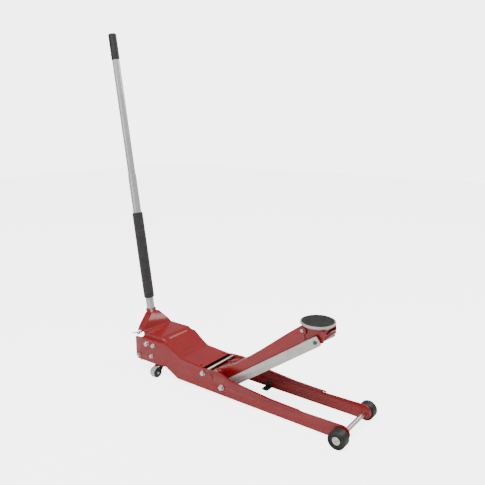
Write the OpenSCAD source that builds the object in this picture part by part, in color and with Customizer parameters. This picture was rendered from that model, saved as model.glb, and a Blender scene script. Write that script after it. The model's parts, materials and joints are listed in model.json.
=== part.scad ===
// Long-reach low-profile trolley jack, raised, with its two-piece handle.
// Origin: on the floor, under the middle of the jack's overall length and width.
// X runs to the front wheels, Y to the left, Z up.

/* [Frame] */
// Distance from the front axle back to the rear edge of the frame
frame_len = 1033; // [960:1:1240]
// Clear width between the side plates along the rails
inner_w = 173; // [160:1:220]
// Overall width across the rear box
rear_w = 216; // [212:1:260]
// Thickness of the side plates
plate_t = 6; // [4:0.5:8]
// Height of the rails at the front
rail_h = 59; // [50:1:72]
// Ground clearance under the rails
rail_low = 12.5; // [10:0.5:16]
// Height of the lower edge of the rear box
box_low = 54; // [54:1:62]
// Height of the side walls of the rear box
wall_h = 160; // [156:1:166]
// Height of the cover's flat top at the rear
hood_h = 181; // [178:1:200]
// Height of the cover's front edge
hood_front_h = 105; // [98:1:112]
// Thickness of the pressed cover
cover_t = 2.5; // [1.5:0.5:4]

/* [Front wheels] */
// Diameter of the front wheels
wheel_d = 68; // [56:1:84]
// Width of the front wheels
wheel_w = 40; // [30:1:48]
// Diameter of the front axle
axle_d = 18; // [14:1:22]

/* [Casters] */
// Diameter of the rear caster wheels
caster_d = 48; // [40:1:48]
// Width of the rear caster wheels
caster_w = 22; // [16:1:24]
// Distance from the swivel to the caster's axle
trail = 27; // [20:1:27]

/* [Lift arm] */
// Distance from the front axle back to the main pivot
pivot_back = 604; // [560:1:680]
// Height of the main pivot
pivot_h = 77; // [74:1:84]
// Length of the lift arm between its pivots
arm_len = 498; // [410:1:520]
// Angle of the lift arm above level
arm_angle = 35.3; // [25:0.1:45]
// Outside width of the lift arm
arm_w = 100; // [84:1:112]
// Thickness of the arm plates
arm_t = 6; // [4:0.5:8]
// Diameter of the main shaft
shaft_d = 26; // [20:1:32]
// Diameter of the arm and link pins
pin_d = 14; // [10:0.5:16]
// Distance from the main pivot forward to the link pivot
link_ahead = 60.5; // [54:0.5:74]
// Distance from the main pivot down to the link pivot
link_drop = 28.6; // [24:0.1:30]
// Height of the link bars
link_h = 38; // [30:1:40]
// Thickness of the link bars
link_t = 6; // [4:0.5:8]

/* [Saddle] */
// Diameter of the rubber pad
pad_d = 120; // [100:1:140]
// Thickness of the rubber pad
pad_t = 10; // [6:0.5:14]
// Height of the pad's top above the arm's front pivot
pad_rise = 35.5; // [32:0.5:44]
// Distance from the arm's front pivot to the saddle's centre
post_ahead = 39; // [32:0.5:46]

/* [Handle] */
// Lean of the handle from upright
lean = 8.25; // [4:0.25:14]
// Length of the handle above its socket
handle_len = 1241; // [1000:1:1500]
// Outside diameter of the lower handle tube
tube_d = 36; // [30:0.5:40]
// Wall of the handle tubes
tube_wall = 1.95; // [1.5:0.05:2.5]
// Length of the foam sleeve
foam_len = 398; // [300:1:480]
// Outside diameter of the foam sleeve
foam_d = 48; // [44:1:60]
// Length of the rubber grip
grip_len = 110; // [90:1:150]

/* [Power unit] */
// Diameter of the ram
ram_d = 28; // [20:1:32]
// Diameter of the reservoir
tank_d = 56; // [48:1:58]
// Diameter of the pump plunger
plunger_d = 18; // [14:1:20]

/* [Hidden] */
$fn = 96;

red = [0.72, 0.11, 0.12];
dark = [0.10, 0.10, 0.11];
zinc = [0.80, 0.80, 0.78];
iron = [0.32, 0.33, 0.34];

run = 0.05; // radial clearance of a shaft that turns in its hole
gap = 0.5; // air between pieces that move past each other
bolt_d = 12;
bolt_head = 19; // across the flats
box_head = 16; // the same on the rear box
lip_w = 8; // flange along the top of each side plate
bend_t = 3; // thickness of small pressed parts

// places along X, worked out from the ends of the whole jack
tube_r = tube_d / 2;
upper_d = tube_d - 2 * tube_wall - 2 * run;
grip_wall = 2;
grip_d = upper_d + 2 * grip_wall;
socket_back = 7; // the socket's mouth stands this far behind the frame
socket_h = 259;
wheel_r = wheel_d / 2;
reach = frame_len + socket_back + handle_len * sin(lean) + grip_d / 2 * cos(lean);
axle_x = (reach - wheel_r) / 2;
rear_x = axle_x - frame_len;
pivot_x = axle_x - pivot_back;
mouth_x = rear_x - socket_back;

half_in = inner_w / 2;
half_out = half_in + plate_t;
half_rear = rear_w / 2;
rail_top = rail_low + rail_h;
nose_z = rail_low + rail_h / 2;
flare_rear = rear_x + 117; // front end of the wide rear box
flare_front = rear_x + 243; // rear end of the narrow rails
flare_turn = atan((half_rear - half_out) / (flare_front - flare_rear));
flare_shift = plate_t * tan(flare_turn / 2);
hood_front = pivot_x - 41;
tie_d = 10;
hood_knee = rear_x + 263; // foot of the cover's steep slope
hood_knee_h = hood_front_h + 8;
hood_flat = rear_x + 148; // rear end of the slope
hood_end = rear_x + 36; // rear edge of the cover, ahead of the handle's socket
step_front = rear_x + 242; // the lower edge rises over the caster from here
step_rear = rear_x + 181;
step_rise = 1;
// the slope meets the top of the side walls here
crest_x = hood_knee + (hood_flat - hood_knee) * (wall_h - hood_knee_h) / (hood_h - cover_t - hood_knee_h);
crest_y = half_out + (half_rear - half_out) * (flare_front - crest_x) / (flare_front - flare_rear);
hood_half = half_out - plate_t / 2;
shoulder_x = pivot_x + 29;
shoulder_h = 109;

arm_half = arm_w / 2;
arm_in = arm_half - arm_t;
front_x = pivot_x + arm_len * cos(arm_angle);
front_z = pivot_h + arm_len * sin(arm_angle);
link_x = pivot_x + link_ahead;
link_z = pivot_h - link_drop;
end_x = front_x + link_ahead;
end_z = front_z - link_drop;
bar_in = arm_half + 2;
bar_out = bar_in + link_t;
post_x = front_x + post_ahead;
pad_top = front_z + pad_rise;
dish_floor = 6;
dish_d = pad_d + 13;
dish_low = pad_top - pad_t - dish_floor;
bracket_t = 6;
bracket_top = dish_low - 2.5;
ear_out = arm_in - gap;
post_d = 25;

lever = 35; // height of the ram's axis below the main pivot
lever_turn = 10.5; // lean of the lever from straight down
ram_z = pivot_h - lever;
ram_pin_x = pivot_x + lever * tan(lever_turn);
head_len = 38;
head_w = 2 * arm_in - 4;
head_h = 28;
block_rear = rear_x + 7;
block_len = 86;
block_front = block_rear + block_len;
block_w = 84;
block_low = ram_z - 20;
block_top = 80;
valve_y = 30;
valve_z = block_top - 22;
gland_x = pivot_x - 66;

yoke_x = rear_x + 72; // the socket's pivot
yoke_z = wall_h - 21;
roller_d = 28;
roller_back = 36;
roller_x = yoke_x - roller_back;
plunger_top = yoke_z - roller_d / 2 - 1;
cap_t = 6;
ear_y = 62;
yoke_t = 5;
sleeve_d = tube_d + 10;
sleeve_low = -98;
foam_low = 55;
joint_at = 627;
button_at = joint_at - 46;
button_turn = -50;
button_d = 8;

swivel_x = rear_x + 132;
swivel_y = half_rear - 20;
caster_r = caster_d / 2;
fork_t = 3;
shelf_t = 6;
shelf_z = box_low + 2;
crown_z = shelf_z - 4;

module both_sides() {
    children();
    mirror([1, 0, 0]) children();
}

module both() {
    children();
    mirror([0, 1, 0]) children();
}

// a flat shape drawn in X and Z, thick from y0 to y1
module slab(y0, y1) {
    translate([0, y1, 0]) rotate([90, 0, 0]) linear_extrude(y1 - y0) children();
}

// a round bar along Y from y0 to y1
module rod_y(x, z, d, y0, y1) {
    translate([x, y1, z]) rotate([90, 0, 0]) cylinder(d = d, h = y1 - y0);
}

// a six-sided bar along Y
module hex_y(x, z, af, y0, y1) {
    translate([x, y1, z]) rotate([90, 0, 0]) cylinder(d = af / cos(30), h = y1 - y0, $fn = 6);
}

// a strip of even width between two points
module strip(a, b, w) {
    d = b - a;
    translate(a) rotate(atan2(d[1], d[0])) translate([0, -w / 2]) square([norm(d), w]);
}

// a bar with round ends a hair fuller than its sides
module stadium(a, b, w) {
    strip(a, b, w - 0.3);
    translate(a) circle(d = w);
    translate(b) circle(d = w);
}

// a sheet of thickness t laid on top of a line of points
module sheet(line, t) {
    n = len(line);
    polygon(concat(line, [for (i = [n - 1:-1:0]) line[i] + [0, t]]));
}

hood_line = [[hood_front, hood_front_h], [hood_knee, hood_knee_h], [hood_flat, hood_h - cover_t],
    [hood_end, hood_h - cover_t]];
rail_line = [[axle_x - 163, rail_top], [axle_x - 215, rail_top + 0.5], [axle_x - 305, rail_top + 3],
    [axle_x - 400, rail_top + 11], [pivot_x + 104, rail_top + 21], [pivot_x + 64, shoulder_h - 5],
    [shoulder_x, shoulder_h], [hood_front, hood_front_h]];

module side_outline() {
    polygon(concat([[axle_x, rail_low], [pivot_x + 104, rail_low], [step_front, rail_low + step_rise],
        [step_rear, box_low], [rear_x + 9, box_low], [rear_x, box_low + 19], [rear_x, wall_h],
        [crest_x, wall_h]], [hood_line[1]], [hood_line[0]],
        [for (i = [6:-1:0]) rail_line[i]], [[axle_x, rail_top]]));
    translate([axle_x, nose_z]) circle(d = rail_h);
}

// plan of one side plate: narrow rail, flare, wide rear box
module side_plan() {
    polygon([[axle_x + rail_h, half_out], [flare_front, half_out], [flare_rear, half_rear],
        [rear_x, half_rear], [rear_x, half_rear - plate_t],
        [flare_rear - flare_shift, half_rear - plate_t], [flare_front - flare_shift, half_in],
        [axle_x + rail_h, half_in]]);
}

box_bolts = [[rear_x + 113, yoke_z + 1], [rear_x + 20, box_low + 19], [rear_x + 101, box_low + 34]];
rail_bolt = [pivot_x - 39, pivot_h + 7];

module side_plate() {
    color(red) {
        difference() {
            intersection() {
                linear_extrude(hood_h + shelf_z) side_plan();
                slab(0, half_rear) side_outline();
            }
            rod_y(axle_x, wheel_r, axle_d, 0, half_rear);
            rod_y(pivot_x, pivot_h, shaft_d, 0, half_rear);
            rod_y(link_x, link_z, pin_d, 0, half_rear);
            rod_y(yoke_x, yoke_z, yoke_shaft_d, 0, half_rear + 1);
            rod_y(rail_bolt[0], rail_bolt[1], bolt_d, 0, half_rear);
            for (b = box_bolts) rod_y(b[0], b[1], bolt_d, 0, half_rear + 1);
        }
        slab(half_out, half_out + lip_w) translate([0, -bend_t]) sheet(rail_line, bend_t);
    }
}
yoke_shaft_d = 16;

module side_plate_left() { side_plate(); }
module side_plate_right() { mirror([0, 1, 0]) side_plate(); }

slope_turn = atan2(hood_h - cover_t - hood_knee_h, hood_knee - hood_flat);
slope_len = norm(hood_line[2] - hood_line[1]);
// pressed cover: front, slope, flat top, two skirts and the wings that rest on the walls
module cover() {
    color(red) difference() {
        union() {
            intersection() {
                slab(-half_rear, half_rear) sheet(hood_line, cover_t);
                linear_extrude(2 * hood_h) both() {
                    polygon([[hood_front, 0], [hood_front, hood_half], [flare_front, hood_half],
                        [crest_x, crest_y - plate_t / 2], [crest_x, 0]]);
                    translate([hood_end - 1, 0]) square([crest_x - hood_end + 1, hood_half]);
                }
            }
            both() slab(hood_half - cover_t, hood_half) polygon([[hood_end, wall_h], [crest_x, wall_h],
                [hood_flat, hood_h - cover_t / 2], [hood_end, hood_h - cover_t / 2]]);
            both() translate([0, 0, wall_h]) linear_extrude(cover_t)
                polygon([[hood_end, hood_half - cover_t], [crest_x, hood_half - cover_t],
                    [crest_x, crest_y], [flare_rear, half_rear], [hood_end, half_rear]]);
        }
        // shallow pressed panel on the slope
        translate([hood_flat, 0, hood_h - cover_t]) rotate([0, slope_turn, 0])
            translate([slope_len * 0.12, -62, cover_t * cos(slope_turn) - 1])
            cube([slope_len * 0.68, 124, 10]);
        both() for (x = cover_screw_x) translate([x, half_in - 12, 0]) cylinder(d = 6, h = 2 * hood_h);
    }
}
cover_screw_x = [hood_front - 22];

module cover_screws() {
    color(zinc) both() for (x = cover_screw_x) {
        z = hood_front_h + (hood_front - x) * 8 / (hood_front - hood_knee) + cover_t + 0.6;
        translate([x, half_in - 12, z]) cylinder(d = 12, h = 3.5);
        translate([x, half_in - 12, z - 14]) cylinder(d = 6, h = 14);
    }
}

module rear_cross_plate() {
    color(red) difference() {
        translate([rear_x + 1, -half_rear + plate_t, rail_low + 20])
            cube([6, rear_w - 2 * plate_t, box_low - 10]);
        translate([rear_x, valve_y, valve_z]) rotate([0, 90, 0]) cylinder(d = 15, h = 10);
        both() translate([rear_x, swivel_y - 6, rail_low]) cube([10, 80, box_low - rail_low - 2]);
    }
}

// bright bar that ties the plates together ahead of the cover
module tie_bar() {
    color(zinc) rod_y(pivot_x - 20, pivot_h + 25, tie_d, -half_in, half_in);
}

// lugs on the rails that carry the lowered arm
module arm_stops() {
    color(dark) both() translate([axle_x - 440, 0, 0]) {
        translate([0, bar_in - 4, rail_low]) cube([26, half_in - bar_in + 4, 8]);
        translate([0, half_in - 5, rail_low + 8]) cube([26, 5, 19]);
    }
}

module frame_bolts() {
    color(zinc) both() {
        for (b = box_bolts) {
            hex_y(b[0], b[1], box_head, half_rear + 2, half_rear + 9);
            rod_y(b[0], b[1], box_head + 4, half_rear, half_rear + 2);
            rod_y(b[0], b[1], bolt_d, half_rear - plate_t - 14, half_rear);
        }
        hex_y(rail_bolt[0], rail_bolt[1], bolt_head, half_out + 2, half_out + 10);
        rod_y(rail_bolt[0], rail_bolt[1], bolt_head + 5, half_out, half_out + 2);
        rod_y(rail_bolt[0], rail_bolt[1], bolt_d, half_in - 12, half_out);
    }
}

wheel_in = half_out + 7.5;
wheel_out = wheel_in + wheel_w;
hub_z = 5; // depth of the recess in the wheel's outer face

module front_axle() {
    color(zinc) difference() {
        rod_y(axle_x, wheel_r, axle_d, -wheel_out - 1, wheel_out + 1);
        both() rod_y(axle_x, wheel_r, 5, wheel_out - 6, wheel_out + 2);
    }
}

module axle_washers() {
    color(zinc) both() difference() {
        rod_y(axle_x, wheel_r, 30, wheel_out - hub_z + gap, wheel_out - 1);
        rod_y(axle_x, wheel_r, axle_d, 0, wheel_out + 1);
    }
}

module axle_spacers() {
    color(zinc) both() difference() {
        rod_y(axle_x, wheel_r, 27, half_out, wheel_in - gap);
        rod_y(axle_x, wheel_r, axle_d, 0, wheel_out);
    }
}

module front_wheel() {
    r = wheel_r;
    e = 3;
    color(dark) translate([axle_x, wheel_in, wheel_r]) rotate([-90, 0, 0]) rotate_extrude()
        polygon([[axle_d / 2 + run, 0], [15, 0], [18, 2], [r - 8, 2], [r - 7, 0], [r - e, 0],
            [r - 0.8, 0.8], [r, e], [r, wheel_w - e], [r - 0.8, wheel_w - 0.8], [r - e, wheel_w],
            [r - 7, wheel_w], [r - 9, wheel_w - hub_z], [axle_d / 2 + run, wheel_w - hub_z]]);
}
module front_wheel_left() { front_wheel(); }
module front_wheel_right() { mirror([0, 1, 0]) front_wheel(); }

// shelf under which one caster swivels, bolted to the box
module caster_shelf() {
    color(red) difference() {
        union() {
            translate([rear_x + 7, swivel_y - 34, shelf_z])
                cube([swivel_x + 30 - rear_x - 7, half_rear - plate_t - swivel_y + 34, shelf_t]);
            translate([rear_x + 7, half_rear - plate_t - 5, shelf_z])
                cube([112, 5, 44]);
        }
        translate([swivel_x, swivel_y, 0]) cylinder(d = bolt_d + 4 * run, h = hood_h);
        for (b = box_bolts) rod_y(b[0], b[1], bolt_d, 0, half_rear + 1);
        linear_extrude(hood_h) translate([-1, 0]) polygon([[flare_rear - flare_shift, half_rear - plate_t],
            [flare_front - flare_shift, half_in], [flare_front, half_rear],
            [flare_rear - flare_shift, half_rear]]);
    }
}
module caster_shelf_left() { caster_shelf(); }
module caster_shelf_right() { mirror([0, 1, 0]) caster_shelf(); }

fork_in = caster_w / 2 + 1;
axle_y = swivel_y + trail;
cheek_r = caster_r - 2;
// pressed fork with its kingpin; the wheel stands across the jack
module caster_fork() {
    color(dark) difference() {
        union() {
            translate([swivel_x, swivel_y, crown_z - fork_t]) cylinder(d = 40, h = fork_t);
            translate([swivel_x, swivel_y, crown_z]) cylinder(d = 22, h = shelf_z - crown_z - gap);
            translate([swivel_x, swivel_y, crown_z]) cylinder(d = bolt_d, h = shelf_t + 14);
            for (s = [-1, 1]) translate([swivel_x + s * (fork_in + fork_t / 2), swivel_y, 0])
                rotate([90, 0, 90]) linear_extrude(fork_t, center = true) {
                    polygon([[-16, crown_z], [16, crown_z], [trail + cheek_r - 1, caster_r + 4],
                        [trail - cheek_r + 1, caster_r + 4]]);
                    translate([trail, caster_r]) circle(r = cheek_r);
                }
        }
        translate([swivel_x - 40, axle_y, caster_r]) rotate([0, 90, 0]) cylinder(d = 8, h = 80);
    }
}
module caster_fork_left() { caster_fork(); }
module caster_fork_right() { mirror([0, 1, 0]) caster_fork(); }

module caster_wheel() {
    h = caster_w / 2;
    color(zinc) translate([swivel_x, axle_y, caster_r]) rotate([0, 90, 0]) rotate_extrude()
        polygon([[4 + run, -h], [9, -h], [10, 3 - h], [caster_r - 6, 3 - h], [caster_r - 5, -h],
            [caster_r - 1.5, -h], [caster_r, 1.5 - h], [caster_r, h - 1.5], [caster_r - 1.5, h],
            [caster_r - 5, h], [caster_r - 6, h - 3], [10, h - 3], [9, h], [4 + run, h]]);
}
module caster_wheel_left() { caster_wheel(); }
module caster_wheel_right() { mirror([0, 1, 0]) caster_wheel(); }

module caster_axle() {
    e = fork_in + fork_t;
    color(zinc) translate([swivel_x, axle_y, caster_r]) rotate([0, 90, 0]) {
        cylinder(d = 8, h = 2 * e, center = true);
        for (s = [-1, 1]) translate([0, 0, s * (e + 1.5)]) cylinder(d = 14, h = 3, center = true);
    }
}
module caster_axle_left() { caster_axle(); }
module caster_axle_right() { mirror([0, 1, 0]) caster_axle(); }

module caster_nut() {
    color(zinc) translate([swivel_x, swivel_y, shelf_z + shelf_t + gap]) difference() {
        cylinder(d = bolt_head / cos(30), h = 9, $fn = 6);
        translate([0, 0, -1]) cylinder(d = bolt_d, h = 12);
    }
}
module caster_nut_left() { caster_nut(); }
module caster_nut_right() { mirror([0, 1, 0]) caster_nut(); }

module main_shaft() {
    color(red) rod_y(pivot_x, pivot_h, shaft_d, -half_out - 2, half_out + 2);
}

// loose collars that centre the arm between the plates
module shaft_collars() {
    color(zinc) both() difference() {
        rod_y(pivot_x, pivot_h, shaft_d + 10, arm_half + gap, half_in);
        rod_y(pivot_x, pivot_h, shaft_d, 0, half_out);
    }
}

// arm outline, drawn along the line between its two pivots
arm_top = [[8, 18], [62, 4], [124, 0], [arm_len * 0.5, 4], [arm_len - 70, 15.5]];
arm_boss = 26;
arm_nose = 17;
module arm_side() {
    difference() {
        union() {
            polygon(concat([[0, -arm_boss], [120, -48], [arm_len * 0.6, -46], [arm_len - 40, -43]],
                [[arm_len - 12, -30], [arm_len, -arm_nose], [arm_len, arm_nose]], [for (i = [4:-1:0]) arm_top[i]]));
            circle(r = arm_boss);
            translate([arm_len, 0]) circle(r = arm_nose);
            rotate(lever_turn - arm_angle - 90) strip([0, 0], [lever + 4, 0], 38);
            rotate(lever_turn - arm_angle - 90) translate([lever + 4, 0]) circle(d = 38);
        }
        circle(d = shaft_d + 2 * run);
        translate([arm_len, 0]) circle(d = pin_d);
        rotate(lever_turn - arm_angle - 90) stadium([lever - 3.5, 0], [lever + 7.5, 0], pin_d + 3);
    }
}

module along_arm() {
    translate([pivot_x, 0, pivot_h]) rotate([0, -arm_angle, 0]) children();
}

module lift_arm() {
    color(red) along_arm() {
        both() slab(arm_in, arm_half) arm_side();
        slab(-arm_in, arm_in) translate([0, -arm_t]) sheet(arm_top, arm_t);
        difference() {
            rod_y(0, 0, shaft_d + 12, -arm_in, arm_in);
            rod_y(0, 0, shaft_d + 2 * run, -arm_half, arm_half);
        }
        slab(-arm_in, arm_in) strip([arm_len * 0.42, -40], [arm_len * 0.42 + 40, -40], 5);
    }
}

link_side = link_h / 2 - 0.15;
// round at its rear pivot, square with cut corners at the saddle
module link_bar() {
    color(zinc) slab(bar_in, bar_out) difference() {
        union() {
            translate([link_x, link_z]) circle(d = link_h);
            translate([link_x, link_z]) rotate(arm_angle) polygon([[0, -link_side], [arm_len + 9, -link_side],
                [arm_len + 17, -link_side + 8], [arm_len + 17, link_side - 8],
                [arm_len + 9, link_side], [0, link_side]]);
        }
        translate([link_x, link_z]) circle(d = pin_d + 2 * run);
        translate([end_x, end_z]) circle(d = pin_d + 2 * run);
    }
}
module link_bar_left() { link_bar(); }
module link_bar_right() { mirror([0, 1, 0]) link_bar(); }

module link_bolts() {
    color(zinc) both() {
        rod_y(link_x, link_z, pin_d, bar_in - 1, half_out);
        rod_y(link_x, link_z, bolt_head + 6, half_out, half_out + 2);
        hex_y(link_x, link_z, bolt_head, half_out + 2, half_out + 11);
    }
}

module link_spacers() {
    color(zinc) both() difference() {
        rod_y(link_x, link_z, pin_d + 8, bar_out + gap, half_in);
        rod_y(link_x, link_z, pin_d, 0, half_out);
    }
}

module link_end_pins() {
    color(zinc) both() difference() {
        union() {
            rod_y(end_x, end_z, pin_d, ear_out - bracket_t, bar_out + 3.5);
            rod_y(end_x, end_z, pin_d + 8, ear_out, bar_in - gap);
        }
        translate([end_x - 10, bar_out + 2, end_z - 1.25]) cube([20, 3, 2.5]);
    }
}

// bracket that stays level on top of the arm and carries the saddle
module saddle_bracket() {
    ear_low = end_z - 15;
    color(red) {
        both() slab(ear_out - bracket_t, ear_out) difference() {
            union() {
                polygon([[front_x - 8, front_z - 13], [end_x - 12, end_z - 12],
                    [end_x + 24, end_z - 2], [end_x + 34, bracket_top - 16],
                    [end_x + 30, bracket_top], [front_x - 6, bracket_top]]);
                translate([front_x, front_z]) circle(r = bracket_top - front_z);
                translate([end_x, end_z]) circle(r = 15);
            }
            translate([front_x, front_z]) circle(d = pin_d + 2 * run);
            translate([end_x, end_z]) circle(d = pin_d);
        }
        difference() {
            slab(-ear_out + bracket_t, ear_out - bracket_t) translate([front_x + 2, bracket_top - bracket_t])
                square([end_x - front_x + 26, bracket_t]);
            translate([post_x, 0, 0]) cylinder(d = post_d + 2 * run, h = pad_top);
        }
        rod_y(end_x + 26, end_z + 18, 20, -ear_out + bracket_t, ear_out - bracket_t);
    }
}

module saddle_pin() {
    color(zinc) {
        rod_y(front_x, front_z, pin_d, -arm_half - 1.5, arm_half + 1.5);
    }
}

module saddle_plate() {
    color(zinc) translate([post_x, 0, 0]) {
        translate([0, 0, dish_low]) rotate_extrude() polygon([[0, 0], [dish_d / 2 - 4, 0],
            [dish_d / 2, 4], [dish_d / 2, dish_floor + pad_t - 3.5],
            [pad_d / 2 + 0.2, dish_floor + pad_t - 3.5], [pad_d / 2 + 0.2, dish_floor],
            [0, dish_floor]]);
        difference() {
            translate([0, 0, bracket_top - bracket_t - 8])
                cylinder(d = post_d, h = dish_low - bracket_top + bracket_t + 8);
            translate([0, 0, clip_z]) clip_ring(post_d + 6);
        }
        translate([0, 0, bracket_top + gap]) cylinder(d = 44, h = dish_low - bracket_top - gap);
    }
}
clip_z = bracket_top - bracket_t - 3;
module clip_ring(d) {
    difference() {
        cylinder(d = d, h = 1.6);
        translate([0, 0, -1]) cylinder(d = post_d - 3, h = 4);
    }
}
module saddle_clip() {
    color(iron) translate([post_x, 0, clip_z]) clip_ring(post_d + 6);
}

// rubber pad with a waffle top
module saddle_pad() {
    color(dark) translate([post_x, 0, pad_top - pad_t]) difference() {
        cylinder(d = pad_d, h = pad_t);
        for (a = [0, 90]) rotate(a) for (i = [-6:5])
            translate([i * 11 + 4.5, -pad_d, pad_t - 1.5]) cube([2, 2 * pad_d, 2]);
    }
}

module pump_block() {
    color(iron) difference() {
        union() {
            translate([block_rear, -block_w / 2, block_low + 6])
                cube([block_len, block_w, block_top - block_low - 6]);
            translate([block_rear + 6, -block_w / 2 + 10, block_low]) cube([block_len - 12, block_w - 20, 8]);
        }
        translate([roller_x, 0, block_top - 50]) cylinder(d = plunger_d + 2 * run, h = 60);
        translate([block_rear - 1, valve_y, valve_z]) rotate([0, 90, 0]) cylinder(d = 14.1, h = 40);
        translate([block_front - 16, -24, block_top - 10]) cylinder(d = 12, h = 11);
    }
}

module reservoir() {
    color(iron) translate([block_front, 0, ram_z]) rotate([0, 90, 0]) difference() {
        cylinder(d = tank_d, h = gland_x - block_front);
        translate([0, 0, 12]) cylinder(d = tank_d - 8, h = gland_x - block_front - 24);
        translate([0, 0, 12]) cylinder(d = ram_d + 2 * run, h = gland_x - block_front);
    }
}

module gland_nut() {
    color(zinc) translate([gland_x, 0, ram_z]) rotate([0, 90, 0]) difference() {
        cylinder(d = tank_d - 6, h = 10, $fn = 8);
        translate([0, 0, -1]) cylinder(d = ram_d + 2 * run, h = 12);
    }
}

module ram() {
    color(zinc) translate([block_front + 40, 0, ram_z]) rotate([0, 90, 0])
        cylinder(d = ram_d, h = ram_pin_x - head_len / 2 - block_front - 40);
}

module ram_head() {
    color(iron) difference() {
        translate([ram_pin_x - head_len / 2, -head_w / 2, ram_z - head_h / 2])
            cube([head_len, head_w, head_h]);
        rod_y(ram_pin_x, ram_z, pin_d, -head_w, head_w);
    }
}

module ram_pin() {
    color(zinc) rod_y(ram_pin_x, ram_z, pin_d, -arm_half - 4, arm_half + 4);
}

// two close-wound pull springs beside the reservoir
spring_d = 9;
spring_y = tank_d / 2 + spring_d / 2 + 1;
coils = 34;
module return_springs() {
    x0 = block_front;
    x1 = ram_pin_x - head_len / 2;
    p = (x1 - x0) / coils;
    root = spring_d / 2 - 2;
    color(iron) both() translate([x0, spring_y, ram_z]) rotate([0, 90, 0]) rotate_extrude($fn = 24)
        polygon(concat([[root, 0]],
            [for (i = [0:2 * coils]) [spring_d / 2 - 1.6 * (i % 2), i * p / 2]], [[root, x1 - x0]]));
}

module pump_plunger() {
    color(zinc) translate([roller_x, 0, 0]) {
        translate([0, 0, block_top - 15]) cylinder(d = plunger_d, h = plunger_top - block_top + 15);
        translate([0, 0, plunger_top - cap_t]) cylinder(d = 34, h = cap_t);
    }
}

module plunger_spring() {
    n = 4;
    wire = 2.5;
    low = block_top + wire / 2;
    p = (plunger_top - cap_t - wire / 2 - low) / n;
    color(iron) translate([roller_x, 0, 0]) rotate_extrude() translate([plunger_d / 2 + 4, 0]) {
        for (i = [0:n]) translate([0, low + i * p]) circle(d = wire, $fn = 16);
        translate([-0.5, low]) square([1, n * p]);
    }
}

module release_valve() {
    color(zinc) translate([block_rear - 14, valve_y, valve_z]) rotate([0, 90, 0]) {
        cylinder(d = 14, h = 40);
        translate([0, 0, -4]) difference() {
            cylinder(d = 22, h = 8);
            translate([-2.5, -12, -1]) cube([5, 24, 5]);
        }
    }
}

module filler_plug() {
    color(dark) translate([block_front - 16, -24, block_top - 10]) {
        cylinder(d = 12, h = 10);
        translate([0, 0, 10]) cylinder(d = 17, h = 5);
    }
}

module in_handle() {
    translate([mouth_x, 0, socket_h]) rotate([0, -lean, 0]) children();
}

// pressed socket: front panel, two flanges, sleeve and the ears to its pivot
yoke_low = -80;
panel_low = -86; // the panel reaches down behind the cover
yoke_side = [[86, yoke_low], [74, -63], [22, -12]]; // right-hand edge of the front panel
panel_x = sleeve_d / 2 + 1;
flange_len = 38;
web_h = -62;
screw_d = 8;
clamp_turn = 270;
clamp_h = -88;
module yoke() {
    color(red) difference() {
        union() {
            in_handle() {
                translate([panel_x, 0, 0]) rotate([90, 0, 90]) linear_extrude(yoke_t)
                    both_sides() polygon(concat([[-1, panel_low], [86, panel_low]], yoke_side,
                    [[-1, yoke_side[2][1]]]));
                both() translate([panel_x - flange_len, 0, 0]) rotate([90, 0, 90])
                    linear_extrude(flange_len + yoke_t)
                    polygon(concat(yoke_side, [[17.5, -15.6], [69.6, -66.2], [79.9, yoke_low]]));
                translate([panel_x - flange_len, -ear_y + yoke_t, web_h])
                    cube([flange_len, 2 * ear_y - 2 * yoke_t, yoke_t]);
                translate([0, 0, sleeve_low]) cylinder(d = sleeve_d, h = -sleeve_low + 3);
                rotate([0, 0, clamp_turn]) translate([tube_r, 0, clamp_h]) rotate([0, 90, 0])
                    cylinder(d = 20, h = 16);
            }
            both() slab(ear_y - yoke_t, ear_y) {
                polygon([[yoke_x, yoke_z - 18], [yoke_x, yoke_z + 17], [hood_end - 7, yoke_z + 33],
                    [hood_end - 7, hood_h + 24], [hood_end - 22, hood_h + 24],
                    [hood_end - 22, yoke_z + 30], [roller_x - 13, yoke_z], [roller_x, yoke_z - 13]]);
                translate([yoke_x, yoke_z]) circle(d = 35);
                translate([roller_x, yoke_z]) circle(d = 25);
            }
        }
        in_handle() translate([0, 0, sleeve_low - 2]) cylinder(d = tube_d + 2 * run, h = 200);
        in_handle() rotate([0, 0, clamp_turn]) translate([0, 0, clamp_h]) rotate([0, 90, 0])
            cylinder(d = screw_d + 2 * run, h = 50);
        rod_y(yoke_x, yoke_z, yoke_shaft_d + 2 * run, -half_rear, half_rear);
        rod_y(roller_x, yoke_z, 10, -half_rear, half_rear);
    }
}

module yoke_shaft() {
    color(zinc) rod_y(yoke_x, yoke_z, yoke_shaft_d, -half_rear - 12, half_rear + 12);
}

module yoke_nuts() {
    color(zinc) both() difference() {
        union() {
            rod_y(yoke_x, yoke_z, yoke_shaft_d + 8, half_rear, half_rear + 2);
            hex_y(yoke_x, yoke_z, yoke_shaft_d + 4, half_rear + 2, half_rear + 10);
        }
        rod_y(yoke_x, yoke_z, yoke_shaft_d, 0, 2 * half_rear);
    }
}

module pump_roller() {
    color(iron) difference() {
        rod_y(roller_x, yoke_z, roller_d, -20, 20);
        rod_y(roller_x, yoke_z, 10 + 2 * run, -30, 30);
    }
}

module roller_pin() {
    color(zinc) rod_y(roller_x, yoke_z, 10, -ear_y - 2, ear_y + 2);
}

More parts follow.
